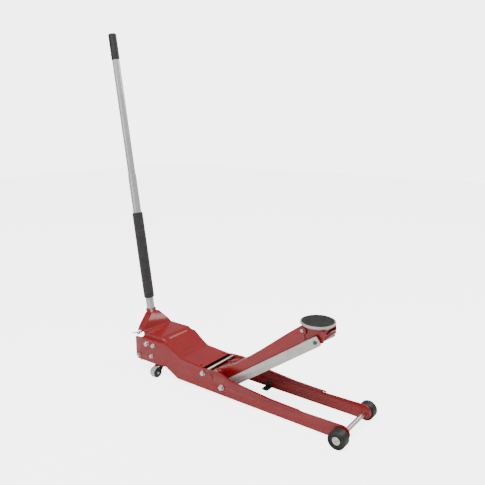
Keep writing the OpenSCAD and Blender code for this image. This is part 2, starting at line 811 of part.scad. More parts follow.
// screw with a sliding bar through its head
head_at = 88;
module clamp_screw() {
    color(zinc) in_handle() rotate([0, 0, clamp_turn]) translate([0, 0, clamp_h]) {
        rotate([0, 90, 0]) translate([0, 0, tube_r + gap]) cylinder(d = screw_d, h = head_at - tube_r);
        rotate([0, 90, 0]) translate([0, 0, head_at]) cylinder(d = 16, h = 12);
        translate([head_at + 6, 0, 0]) rotate([90 + clamp_lean, 0, 0]) translate([0, 0, -12])
            cylinder(d = 5, h = 55);
    }
}
clamp_lean = 7; // turn of the sliding bar

module lower_tube() {
    color(zinc) in_handle() difference() {
        translate([0, 0, sleeve_low + 2]) cylinder(d = tube_d, h = joint_at - sleeve_low - 2);
        translate([0, 0, sleeve_low]) cylinder(d = tube_d - 2 * tube_wall, h = joint_at - sleeve_low + 1);
        button_hole();
    }
}

module button_hole() {
    translate([0, 0, button_at]) rotate([0, 0, button_turn]) rotate([0, 90, 0])
        cylinder(d = button_d + 4 * run, h = tube_d);
}

module foam_sleeve() {
    color([0.3, 0.3, 0.3]) in_handle() translate([0, 0, foam_low]) difference() {
        cylinder(d = foam_d, h = foam_len);
        translate([0, 0, -1]) cylinder(d = tube_d, h = foam_len + 2);
    }
}

module upper_tube() {
    color(zinc) in_handle() difference() {
        translate([0, 0, joint_at - 140]) cylinder(d = upper_d, h = handle_len - joint_at + 140 - grip_wall);
        translate([0, 0, joint_at - 141]) cylinder(d = upper_d - 2 * tube_wall, h = handle_len);
        button_hole();
    }
}

module grip() {
    color(dark) in_handle() difference() {
        translate([0, 0, handle_len - grip_len]) cylinder(d = grip_d, h = grip_len);
        translate([0, 0, handle_len - grip_len - 1]) cylinder(d = upper_d, h = grip_len + 1 - grip_wall);
    }
}

module lock_button() {
    inner = upper_d / 2 - tube_wall;
    color(zinc) in_handle() translate([0, 0, button_at]) rotate([0, 0, button_turn]) rotate([0, 90, 0]) {
        translate([0, 0, inner - 2]) cylinder(d = button_d, h = tube_r - inner + 5);
        translate([0, 0, inner - 3.4]) cylinder(d = button_d + 3, h = 1.6);
    }
}

// bent leaf that pushes the lock button out
module button_spring() {
    inner = upper_d / 2 - tube_wall;
    color(iron) in_handle() translate([0, 0, button_at]) rotate([0, 0, button_turn])
        translate([0, 3, 0]) rotate([90, 0, 0]) linear_extrude(6) {
            strip([inner - 3.9, 12], [inner - 3.9, -12], 1);
            strip([inner - 3.9, -12], [2 - inner, -34], 1);
            strip([2 - inner, -34], [inner - 4, -56], 1);
        }
}

side_plate_right();
side_plate_left();
cover();
cover_screws();
rear_cross_plate();
tie_bar();
arm_stops();
frame_bolts();
front_axle();
axle_washers();
axle_spacers();
front_wheel_right();
front_wheel_left();
caster_shelf_right();
caster_shelf_left();
caster_fork_right();
caster_fork_left();
caster_wheel_right();
caster_wheel_left();
caster_axle_right();
caster_axle_left();
caster_nut_right();
caster_nut_left();
main_shaft();
shaft_collars();
lift_arm();
link_bar_right();
link_bar_left();
link_bolts();
link_spacers();
link_end_pins();
saddle_bracket();
saddle_pin();
saddle_plate();
saddle_clip();
saddle_pad();
pump_block();
reservoir();
gland_nut();
ram();
ram_head();
ram_pin();
return_springs();
pump_plunger();
plunger_spring();
release_valve();
filler_plug();
yoke();
yoke_shaft();
yoke_nuts();
pump_roller();
roller_pin();
clamp_screw();
lower_tube();
foam_sleeve();
upper_tube();
grip();
lock_button();
button_spring();
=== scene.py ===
import json
import math

import bmesh
import bpy
from bpy.props import FloatProperty, FloatVectorProperty, IntProperty, PointerProperty
from mathutils import Matrix, Vector

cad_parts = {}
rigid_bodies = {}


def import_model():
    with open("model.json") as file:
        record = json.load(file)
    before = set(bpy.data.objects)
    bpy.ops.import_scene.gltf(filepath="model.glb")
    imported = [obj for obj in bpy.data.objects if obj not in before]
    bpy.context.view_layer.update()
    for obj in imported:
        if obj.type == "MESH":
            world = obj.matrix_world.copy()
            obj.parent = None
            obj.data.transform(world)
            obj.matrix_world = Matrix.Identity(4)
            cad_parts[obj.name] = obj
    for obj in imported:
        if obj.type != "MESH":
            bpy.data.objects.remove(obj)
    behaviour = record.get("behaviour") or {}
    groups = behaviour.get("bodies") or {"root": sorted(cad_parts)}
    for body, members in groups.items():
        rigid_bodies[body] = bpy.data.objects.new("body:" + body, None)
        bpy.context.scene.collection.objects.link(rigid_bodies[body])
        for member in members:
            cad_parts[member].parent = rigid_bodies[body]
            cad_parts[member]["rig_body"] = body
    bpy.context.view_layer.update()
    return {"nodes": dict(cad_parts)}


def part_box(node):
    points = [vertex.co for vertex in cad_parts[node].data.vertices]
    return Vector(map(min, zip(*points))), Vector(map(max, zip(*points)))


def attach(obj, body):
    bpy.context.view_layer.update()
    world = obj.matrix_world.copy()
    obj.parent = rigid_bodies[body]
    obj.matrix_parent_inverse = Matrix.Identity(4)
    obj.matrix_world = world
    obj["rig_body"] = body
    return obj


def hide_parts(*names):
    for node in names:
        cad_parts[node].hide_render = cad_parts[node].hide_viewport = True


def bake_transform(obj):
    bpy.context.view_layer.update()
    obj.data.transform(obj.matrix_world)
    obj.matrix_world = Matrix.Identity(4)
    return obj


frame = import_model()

bl_info = {
    "name": "Trolley jack",
    "version": (1, 0, 0),
    "blender": (4, 5, 0),
    "location": "3D View > Sidebar > Jack",
    "description": "Builds a long-reach trolley jack on its packed frame",
    "category": "Object",
}

UP = Vector((0, 0, 1))

PLATE = 0.006   # side plates, arm cheeks and link bars
SHEET = 0.0025  # the pressed cover


# ---------------------------------------------------------------- places

def middle(node):
    """The middle of a frame node's box."""
    low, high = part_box(node)
    return (low + high) / 2


def span(node):
    """The size of a frame node's box."""
    low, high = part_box(node)
    return high - low


class Place:
    """Where the jack's main features are, taken from the frame."""
    axle = middle("front_axle")
    pivot = middle("main_shaft")
    front = middle("saddle_pin")
    end = middle("link_end_pins")
    link = Vector((end.x - front.x + pivot.x, 0, end.z - front.z + pivot.z))
    socket = middle("yoke_shaft")
    roller = middle("roller_pin")
    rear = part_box("rear_cross_plate")[0].x - 0.001
    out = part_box("side_plate_left")[0].y + PLATE
    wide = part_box("side_plate_left")[1].y
    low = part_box("side_plate_left")[0].z
    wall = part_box("side_plate_left")[1].z
    arm_half = span("lift_arm").y / 2
    post = middle("saddle_pad")
    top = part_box("saddle_pad")[1].z
    cover_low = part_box("cover")[0].z
    cover_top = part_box("cover")[1].z
    cover_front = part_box("cover")[1].x
    # along the frame: where the plates widen, and the cover's lower and upper bend
    flare = rear + 0.243
    knee = rear + 0.263
    flat = rear + 0.148
    box_low = 0.054


LEAN = math.radians(8.25)
MOUTH = Vector((Place.rear - 0.007, 0, 0.259))


def on_handle(bm):
    """Moves a mesh drawn round +Z from the socket's mouth onto the leaning handle."""
    bm.transform(Matrix.Translation(MOUTH) @ Matrix.Rotation(-LEAN, 4, "Y"))


# ---------------------------------------------------------------- mesh work

def rounded(points, radius, closed=True, steps=4):
    """Rounds the corners of a flat outline."""
    n = len(points)
    out = []
    for i, p in enumerate(points):
        if not closed and i in (0, n - 1):
            out.append(Vector(p))
            continue
        a, b, c = Vector(points[i - 1]), Vector(p), Vector(points[(i + 1) % n])
        u, v = (a - b), (c - b)
        lu, lv = u.length, v.length
        if lu < 1e-7 or lv < 1e-7:
            continue
        u, v = u / lu, v / lv
        turn = math.acos(max(-1, min(1, u.dot(v))))
        if turn > math.radians(178) or radius <= 0:
            out.append(b)
            continue
        reach = min(radius / math.tan(turn / 2), 0.45 * lu, 0.45 * lv)
        start, stop = b + u * reach, b + v * reach
        for k in range(steps + 1):
            t = k / steps
            out.append((1 - t) ** 2 * start + 2 * t * (1 - t) * b + t * t * stop)
    return out


def ring(cx, cz, r, n=48):
    """Outline of a circle."""
    turns = [2 * math.pi * k / n for k in range(n)]
    return [(cx + r * math.cos(t), cz + r * math.sin(t)) for t in turns]


def bar(a, b, width, n=24):
    """Outline of a flat bar with round ends."""
    a, b = Vector(a), Vector(b)
    turn = math.atan2((b - a).y, (b - a).x)
    out = []
    for c, off in ((b, -math.pi / 2), (a, math.pi / 2)):
        for k in range(n + 1):
            t = turn + off + math.pi * k / n
            out.append((c.x + width / 2 * math.cos(t), c.y + width / 2 * math.sin(t)))
    return out


def lathe(profile, seg=64, closed=True):
    """Turns an outline of (radius, height) points round +Z."""
    bm = bmesh.new()
    rows = []
    for r, z in profile:
        if r < 1e-6:
            rows.append([bm.verts.new((0, 0, z))] * seg)
        else:
            rows.append([bm.verts.new((r * math.cos(2 * math.pi * k / seg), r * math.sin(2 * math.pi * k / seg), z))
                         for k in range(seg)])
    n = len(rows)
    for i in range(n if closed else n - 1):
        p, q = rows[i], rows[(i + 1) % n]
        for k in range(seg):
            m = (k + 1) % seg
            loop = []
            for v in (p[k], p[m], q[m], q[k]):
                if v not in loop:
                    loop.append(v)
            if len(loop) > 2:
                try:
                    bm.faces.new(loop)
                except ValueError:
                    pass
    bmesh.ops.recalc_face_normals(bm, faces=bm.faces)
    return bm


def turned(bm, origin, axis):
    """Stands a mesh drawn round +Z on origin along axis."""
    rot = UP.rotation_difference(Vector(axis)).to_matrix().to_4x4()
    bm.transform(Matrix.Translation(origin) @ rot)
    return bm


def rod(at, r, half, edge, seg):
    """A plain round rod across the jack, with softened ends."""
    outline = rounded([(0, -half), (r, -half), (r, half), (0, half)], edge)
    return turned(lathe(outline, seg), at, (0, 1, 0))


def flat_plate(outline, holes, y0, y1, edge=0.0008):
    """A plate in the X-Z plane between y0 and y1, with softened edges and holes."""
    curve = bpy.data.curves.new("cut", "CURVE")
    curve.dimensions = "2D"
    curve.fill_mode = "BOTH"
    curve.extrude = (y1 - y0) / 2 - edge
    curve.bevel_depth = edge
    curve.bevel_resolution = 1
    curve.offset = -edge
    for loop in [outline] + list(holes):
        spline = curve.splines.new("POLY")
        spline.points.add(len(loop) - 1)
        for point, (x, z) in zip(spline.points, loop):
            point.co = (x, z, 0, 1)
        spline.use_cyclic_u = True
    obj = bpy.data.objects.new("cut", curve)
    bpy.context.collection.objects.link(obj)
    mesh = bpy.data.meshes.new_from_object(obj.evaluated_get(bpy.context.evaluated_depsgraph_get()))
    bpy.data.objects.remove(obj)
    bpy.data.curves.remove(curve)
    bm = bmesh.new()
    bm.from_mesh(mesh)
    bpy.data.meshes.remove(mesh)
    bmesh.ops.remove_doubles(bm, verts=bm.verts, dist=1e-6)
    bm.transform(Matrix.Translation((0, (y0 + y1) / 2, 0)) @ Matrix.Rotation(math.pi / 2, 4, "X"))
    bmesh.ops.recalc_face_normals(bm, faces=bm.faces)
    return bm


def copied(node):
    """A merged copy of a frame node's mesh."""
    bm = bmesh.new()
    bm.from_mesh(frame["nodes"][node].data)
    bmesh.ops.remove_doubles(bm, verts=bm.verts, dist=2e-6)
    bmesh.ops.dissolve_limit(bm, angle_limit=math.radians(1.0), verts=bm.verts, edges=bm.edges)
    return bm


def join(*parts):
    """Puts several meshes in one."""
    out = bmesh.new()
    for part in parts:
        mesh = bpy.data.meshes.new("part")
        part.to_mesh(mesh)
        part.free()
        out.from_mesh(mesh)
        bpy.data.meshes.remove(mesh)
    return out


def mirrored(bm):
    """A copy of a mesh on the jack's other side."""
    other = bm.copy()
    bmesh.ops.scale(other, vec=(1, -1, 1), verts=other.verts)
    bmesh.ops.reverse_faces(other, faces=other.faces)
    return other


def piece(name, bm, material, body, nodes, sharp=35, edge=0.0):
    """Makes the finished object of one piece and hangs it on its body."""
    mesh = bpy.data.meshes.new(name)
    bm.to_mesh(mesh)
    bm.free()
    obj = bpy.data.objects.new(name, mesh)
    bpy.context.collection.objects.link(obj)
    if edge:
        rounding = obj.modifiers.new("edges", "BEVEL")
        rounding.width = edge
        rounding.segments = 2
        rounding.limit_method = "ANGLE"
        rounding.angle_limit = math.radians(32)
        rounding.use_clamp_overlap = True
        bpy.context.view_layer.update()
        done = bpy.data.meshes.new_from_object(obj.evaluated_get(bpy.context.evaluated_depsgraph_get()))
        obj.modifiers.clear()
        obj.data = done
        bpy.data.meshes.remove(mesh)
        mesh = done
        mesh.name = name
    mesh.materials.clear()
    mesh.materials.append(material)
    mesh.polygons.foreach_set("material_index", [0] * len(mesh.polygons))
    mesh.polygons.foreach_set("use_smooth", [True] * len(mesh.polygons))
    mesh.set_sharp_from_angle(angle=math.radians(sharp))
    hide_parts(*nodes)
    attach(obj, body)
    return obj


# ---------------------------------------------------------------- node trees

def tree_run(name, build, mesh, inputs):
    """Runs a geometry tree on a mesh and returns the plain result as a mesh to work on."""
    tree = bpy.data.node_groups.get(name) or build(name)
    obj = bpy.data.objects.new("seed", mesh)
    bpy.context.collection.objects.link(obj)
    mod = obj.modifiers.new("tree", "NODES")
    mod.node_group = tree
    for item in tree.interface.items_tree:
        if item.item_type == "SOCKET" and item.in_out == "INPUT" and item.name in inputs:
            mod[item.identifier] = inputs[item.name]
    bpy.context.view_layer.update()
    done = bpy.data.meshes.new_from_object(obj.evaluated_get(bpy.context.evaluated_depsgraph_get()))
    obj.modifiers.clear()
    bpy.data.objects.remove(obj)
    bm = bmesh.new()
    bm.from_mesh(done)
    bpy.data.meshes.remove(done)
    return bm


def add_node(tree, kind, values=None, **settings):
    """Adds a node to a tree. Values are numbers, or sockets to link."""
    node = tree.nodes.new(kind)
    for key, value in settings.items():
        setattr(node, key, value)
    for key, value in (values or {}).items():
        if isinstance(value, bpy.types.NodeSocket):
            tree.links.new(value, node.inputs[key])
        else:
            node.inputs[key].default_value = value
    return node


class Tree:
    """A node group with its inputs and outputs."""

    def __init__(self, name, kind, inputs, outputs):
        self.tree = bpy.data.node_groups.new(name, kind)
        face = self.tree.interface
        for label, sort, value in inputs:
            made = face.new_socket(label, in_out="INPUT", socket_type=sort)
            if value is not None:
                made.default_value = value
        for label, sort in outputs:
            face.new_socket(label, in_out="OUTPUT", socket_type=sort)
        self.start = self.tree.nodes.new("NodeGroupInput")
        self.stop = self.tree.nodes.new("NodeGroupOutput")

    def add(self, kind, values=None, **settings):
        """Adds a node to the group."""
        return add_node(self.tree, kind, values, **settings)

    def link(self, a, b):
        """Joins an output to an input."""
        self.tree.links.new(a, b)

    def ended(self, geometry):
        """Ends a geometry tree with plain, painted geometry."""
        real = self.add("GeometryNodeRealizeInstances", {"Geometry": geometry})
        paint = self.add("GeometryNodeSetMaterial", {
            "Geometry": real.outputs["Geometry"], "Material": self.start.outputs["Material"]})
        self.link(paint.outputs["Geometry"], self.stop.inputs["Geometry"])
        return self.tree


def build_spring(name):
    """A wound wire: a spiral along +Z swept with a round wire."""
    t = Tree(name, "GeometryNodeTree",
             [("Geometry", "NodeSocketGeometry", None), ("Length", "NodeSocketFloat", 0.05),
              ("Coil radius", "NodeSocketFloat", 0.01), ("Wire radius", "NodeSocketFloat", 0.001),
              ("Turns", "NodeSocketFloat", 6.0), ("Material", "NodeSocketMaterial", None)],
             [("Geometry", "NodeSocketGeometry")])
    g = t.start.outputs
    spiral = t.add("GeometryNodeCurveSpiral", {
        "Resolution": 20, "Rotations": g["Turns"], "Start Radius": g["Coil radius"],
        "End Radius": g["Coil radius"], "Height": g["Length"]})
    wire = t.add("GeometryNodeCurvePrimitiveCircle", {"Resolution": 8, "Radius": g["Wire radius"]})
    swept = t.add("GeometryNodeCurveToMesh", {
        "Curve": spiral.outputs["Curve"], "Profile Curve": wire.outputs["Curve"], "Fill Caps": True})
    return t.ended(swept.outputs["Mesh"])


def build_fasteners(name):
    """One fastener on every point, standing along the point's face_to direction."""
    t = Tree(name, "GeometryNodeTree",
             [("Geometry", "NodeSocketGeometry", None), ("Fastener", "NodeSocketObject", None),
              ("Material", "NodeSocketMaterial", None)],
             [("Geometry", "NodeSocketGeometry")])
    g = t.start.outputs
    head = t.add("GeometryNodeObjectInfo", {"Object": g["Fastener"]}, transform_space="ORIGINAL")
    facing = t.add("GeometryNodeInputNamedAttribute", {"Name": "face_to"}, data_type="FLOAT_VECTOR")
    spin = t.add("GeometryNodeInputNamedAttribute", {"Name": "spin"}, data_type="FLOAT")
    turn = t.add("FunctionNodeAlignRotationToVector", {"Vector": facing.outputs["Attribute"]}, axis="Z")
    roll = t.add("ShaderNodeCombineXYZ", {"Z": spin.outputs["Attribute"]})
    local = t.add("FunctionNodeRotateRotation", {"Rotation": turn.outputs["Rotation"]}, rotation_space="LOCAL")
    t.link(roll.outputs["Vector"], local.inputs["Rotate By"])
    put = t.add("GeometryNodeInstanceOnPoints", {
        "Points": g["Geometry"], "Instance": head.outputs["Geometry"], "Rotation": local.outputs["Rotation"]})
    return t.ended(put.outputs["Instances"])


def build_studs(name):
    """Square studs on a grid, kept inside a circle."""
    t = Tree(name, "GeometryNodeTree",
             [("Geometry", "NodeSocketGeometry", None), ("Pad radius", "NodeSocketFloat", 0.06),
              ("Pitch", "NodeSocketFloat", 0.011), ("Stud", "NodeSocketFloat", 0.006),
              ("Rise", "NodeSocketFloat", 0.0015), ("Material", "NodeSocketMaterial", None)],
             [("Geometry", "NodeSocketGeometry")])
    g = t.start.outputs
    width = t.add("ShaderNodeMath", {0: g["Pitch"], 1: 12.0}, operation="MULTIPLY")
    grid = t.add("GeometryNodeMeshGrid", {
        "Size X": width.outputs[0], "Size Y": width.outputs[0], "Vertices X": 13, "Vertices Y": 13})
    where = t.add("GeometryNodeInputPosition")
    far = t.add("ShaderNodeVectorMath", {0: where.outputs[0]}, operation="LENGTH")
    limit = t.add("ShaderNodeMath", {0: g["Pad radius"], 1: g["Stud"]}, operation="SUBTRACT")
    outside = t.add("ShaderNodeMath", {0: far.outputs["Value"], 1: limit.outputs[0]}, operation="GREATER_THAN")
    kept = t.add("GeometryNodeDeleteGeometry", {
        "Geometry": grid.outputs["Mesh"], "Selection": outside.outputs[0]}, domain="POINT")
    top = t.add("ShaderNodeMath", {0: g["Stud"], 1: 0.8}, operation="MULTIPLY")
    stud = t.add("GeometryNodeMeshCone", {
        "Vertices": 4, "Radius Top": top.outputs[0], "Radius Bottom": g["Stud"], "Depth": g["Rise"]})
    put = t.add("GeometryNodeInstanceOnPoints", {"Points": kept.outputs["Geometry"], "Instance": stud.outputs["Mesh"],
                                                  "Rotation": (0, 0, math.pi / 4)})
    return t.ended(put.outputs["Instances"])


def build_bead(name):
    """A weld bead: overlapping flat drops along a line of edges."""
    t = Tree(name, "GeometryNodeTree",
             [("Geometry", "NodeSocketGeometry", None), ("Drop radius", "NodeSocketFloat", 0.0025),
              ("Pitch", "NodeSocketFloat", 0.0022), ("Material", "NodeSocketMaterial", None)],
             [("Geometry", "NodeSocketGeometry")])
    g = t.start.outputs
    line = t.add("GeometryNodeMeshToCurve", {"Mesh": g["Geometry"]})
    points = t.add("GeometryNodeCurveToPoints", {"Curve": line.outputs["Curve"], "Length": g["Pitch"]}, mode="LENGTH")
    drop = t.add("GeometryNodeMeshIcoSphere", {"Radius": g["Drop radius"], "Subdivisions": 2})
    uneven = t.add("FunctionNodeRandomValue", {"Min": (0.85, 0.9, 0.85), "Max": (1.1, 1.1, 1.05), "Seed": 7},
                   data_type="FLOAT_VECTOR")
    put = t.add("GeometryNodeInstanceOnPoints", {
        "Points": points.outputs["Points"], "Instance": drop.outputs["Mesh"], "Scale": uneven.outputs["Value"]})
    return t.ended(put.outputs["Instances"])


def wound(length, coil, wire, turns, material):
    """A spring along +Z from z 0."""
    return tree_run("Wound spring", build_spring, bpy.data.meshes.new("spring"), {
        "Length": length, "Coil radius": coil, "Wire radius": wire, "Turns": turns, "Material": material})


def bead(lines, material, radius):
    """Weld beads along lists of points."""
    mesh = bpy.data.meshes.new("bead")
    verts, edges = [], []
    for line in lines:
        first = len(verts)
        verts += [tuple(p) for p in line]
        edges += [(first + i, first + i + 1) for i in range(len(line) - 1)]
    mesh.from_pydata(verts, edges, [])
    return tree_run("Weld bead", build_bead, mesh, {
        "Drop radius": radius, "Pitch": radius * 0.9, "Material": material})


def fasteners(spots, head, material):
    """Copies of a fastener's mesh at (place, direction, spin) spots."""
    mesh = bpy.data.meshes.new("spots")
    mesh.from_pydata([tuple(s[0]) for s in spots], [], [])
    facing = mesh.attributes.new("face_to", "FLOAT_VECTOR", "POINT")
    facing.data.foreach_set("vector", [c for s in spots for c in s[1]])
    spin = mesh.attributes.new("spin", "FLOAT", "POINT")
    spin.data.foreach_set("value", [s[2] for s in spots])
    one = bpy.data.meshes.new("head")
    head.to_mesh(one)
    head.free()
    holder = bpy.data.objects.new("head", one)
    bpy.context.collection.objects.link(holder)
    bm = tree_run("Fastener set", build_fasteners, mesh, {"Fastener": holder, "Material": material})
    bpy.data.objects.remove(holder)
    return bm


def hex_head(across, tall, shank, below, washer=0.0):
    """A chamfered hexagon on a washer, standing on z 0, with its shank below."""
    seg, parts = 72, []
    base = 0.002 if washer else 0
    chamfer = across * 0.09
    bm = bmesh.new()
    rows = []
    for z, grow in ((base, 0.97), (base + 0.0006, 1.0), (base + tall - chamfer * 0.58, 1.0), (base + tall, 0)):
        row = []
        for k in range(seg):
            a = 2 * math.pi * k / seg
            flat = across / 2 / math.cos((a % (math.pi / 3)) - math.pi / 6)
            r = flat * grow if grow else min(flat, across / 2 * 0.97)
            if grow == 1.0 and z > base + 0.001:
                over = max(0.0, flat - across / 2)
                row.append(bm.verts.new((flat * math.cos(a), flat * math.sin(a), z - over * 0.55)))
            else:
                row.append(bm.verts.new((r * math.cos(a), r * math.sin(a), z)))
        rows.append(row)
    for p, q in zip(rows, rows[1:]):
        for k in range(seg):
            bm.faces.new((p[k], p[(k + 1) % seg], q[(k + 1) % seg], q[k]))
    bm.faces.new(rows[0][::-1])
    bm.faces.new(rows[-1])
    parts.append(bm)
    if washer:
        parts.append(lathe(rounded([(0.001, 0.0001), (washer / 2, 0.0001), (washer / 2, 0.002), (0.001, 0.002)],
                                   0.0005), 56))
    if below:
        parts.append(lathe([(0, -below), (shank / 2 - 0.001, -below), (shank / 2, -below + 0.001),
                            (shank / 2, 0.0005), (0, 0.0005)], 40))
    return join(*parts)


# ---------------------------------------------------------------- finishes

def group_grain():
    """Cloudy tone, fine grain and their height."""
    if "Tone and grain" in bpy.data.node_groups:
        return bpy.data.node_groups["Tone and grain"]
    t = Tree("Tone and grain", "ShaderNodeTree",
             [("Cloud scale", "NodeSocketFloat", 14.0), ("Grain scale", "NodeSocketFloat", 700.0),
              ("Stretch", "NodeSocketVector", (1.0, 1.0, 1.0))],
             [("Cloud", "NodeSocketFloat"), ("Grain", "NodeSocketFloat")])
    g = t.start.outputs
    place = t.add("ShaderNodeTexCoord")
    stretched = t.add("ShaderNodeVectorMath", {0: place.outputs["Object"], 1: g["Stretch"]}, operation="MULTIPLY")
    cloud = t.add("ShaderNodeTexNoise", {"Vector": place.outputs["Object"], "Scale": g["Cloud scale"],
                                          "Detail": 4.0, "Roughness": 0.55})
    grain = t.add("ShaderNodeTexNoise", {"Vector": stretched.outputs[0], "Scale": g["Grain scale"],
                                          "Detail": 3.0, "Roughness": 0.6})
    t.link(cloud.outputs["Fac"], t.stop.inputs["Cloud"])
    t.link(grain.outputs["Fac"], t.stop.inputs["Grain"])
    return t.tree


def group_scuffs():
    """Sparse fine scuffs as a mask."""
    if "Scuffs" in bpy.data.node_groups:
        return bpy.data.node_groups["Scuffs"]
    t = Tree("Scuffs", "ShaderNodeTree",
             [("Scale", "NodeSocketFloat", 40.0), ("Amount", "NodeSocketFloat", 0.3)],
             [("Mask", "NodeSocketFloat")])
    g = t.start.outputs
    place = t.add("ShaderNodeTexCoord")
    bent = t.add("ShaderNodeTexNoise", {"Vector": place.outputs["Object"], "Scale": 6.0, "Detail": 2.0})
    mix = t.add("ShaderNodeVectorMath", {0: place.outputs["Object"], 1: bent.outputs["Color"]}, operation="ADD")
    thin = t.add("ShaderNodeVectorMath", {0: mix.outputs[0], 1: (1.0, 0.12, 0.35)}, operation="MULTIPLY")
    lines = t.add("ShaderNodeTexVoronoi", {"Vector": thin.outputs[0], "Scale": g["Scale"]},
                  feature="DISTANCE_TO_EDGE")
    edge = t.add("ShaderNodeMapRange", {"Value": lines.outputs["Distance"], "From Min": 0.0, "From Max": 0.012,
                                         "To Min": 1.0, "To Max": 0.0})
    patch = t.add("ShaderNodeTexNoise", {"Vector": place.outputs["Object"], "Scale": 9.0, "Detail": 3.0})
    some = t.add("ShaderNodeMapRange", {"Value": patch.outputs["Fac"], "From Min": 0.52, "From Max": 0.68,
                                         "To Min": 0.0, "To Max": 1.0})
    both = t.add("ShaderNodeMath", {0: edge.outputs[0], 1: some.outputs[0]}, operation="MULTIPLY")
    held = t.add("ShaderNodeMath", {0: both.outputs[0], 1: g["Amount"]}, operation="MULTIPLY")
    t.link(held.outputs[0], t.stop.inputs["Mask"])
    return t.tree


def finish(name, base, second, rough, metallic=0.0, cloud=14.0, grain=700.0, stretch=(1, 1, 1), bump=0.1,
           depth=0.0002, scuffs=0.2, scuff_tone=(0.5, 0.5, 0.5), coat=0.0, coat_rough=0.1, sheen=0.0, spec=0.5):
    """A material with cloudy tone, grain, scuffs and bump."""
    mat = bpy.data.materials.new(name)
    mat.use_nodes = True
    tree = mat.node_tree
    tone = add_node(tree, "ShaderNodeGroup", {"Cloud scale": cloud, "Grain scale": grain, "Stretch": stretch},
                    node_tree=group_grain())
    marks = add_node(tree, "ShaderNodeGroup", {"Amount": scuffs}, node_tree=group_scuffs())
    ease = add_node(tree, "ShaderNodeMapRange", {
        "Value": tone.outputs["Cloud"], "From Min": 0.35, "From Max": 0.65})
    colour = add_node(tree, "ShaderNodeMix", {
        "Factor": ease.outputs[0], "A": (*base, 1), "B": (*second, 1)}, data_type="RGBA")
    worn = add_node(tree, "ShaderNodeMix", {
        "Factor": marks.outputs["Mask"], "A": colour.outputs["Result"], "B": (*scuff_tone, 1)}, data_type="RGBA")
    dull = add_node(tree, "ShaderNodeMapRange", {
        "Value": tone.outputs["Grain"], "From Min": 0.3, "From Max": 0.7, "To Min": rough[0], "To Max": rough[1]})
    half = add_node(tree, "ShaderNodeMath", {0: marks.outputs["Mask"], 1: 0.5}, operation="MULTIPLY")
    blend = add_node(tree, "ShaderNodeMath", {0: dull.outputs[0], 1: half.outputs[0]}, operation="ADD")
    relief = add_node(tree, "ShaderNodeBump", {
        "Strength": bump, "Distance": depth, "Height": tone.outputs["Grain"]})
    shader = tree.nodes["Principled BSDF"]
    for key, value in (("Metallic", metallic), ("Coat Weight", coat), ("Coat Roughness", coat_rough),
                       ("Sheen Weight", sheen), ("Specular IOR Level", spec)):
        shader.inputs[key].default_value = value
    for key, source in (("Base Color", worn.outputs["Result"]), ("Roughness", blend.outputs[0]),
                        ("Normal", relief.outputs["Normal"])):
        tree.links.new(source, shader.inputs[key])
    return mat


FINISH = {}


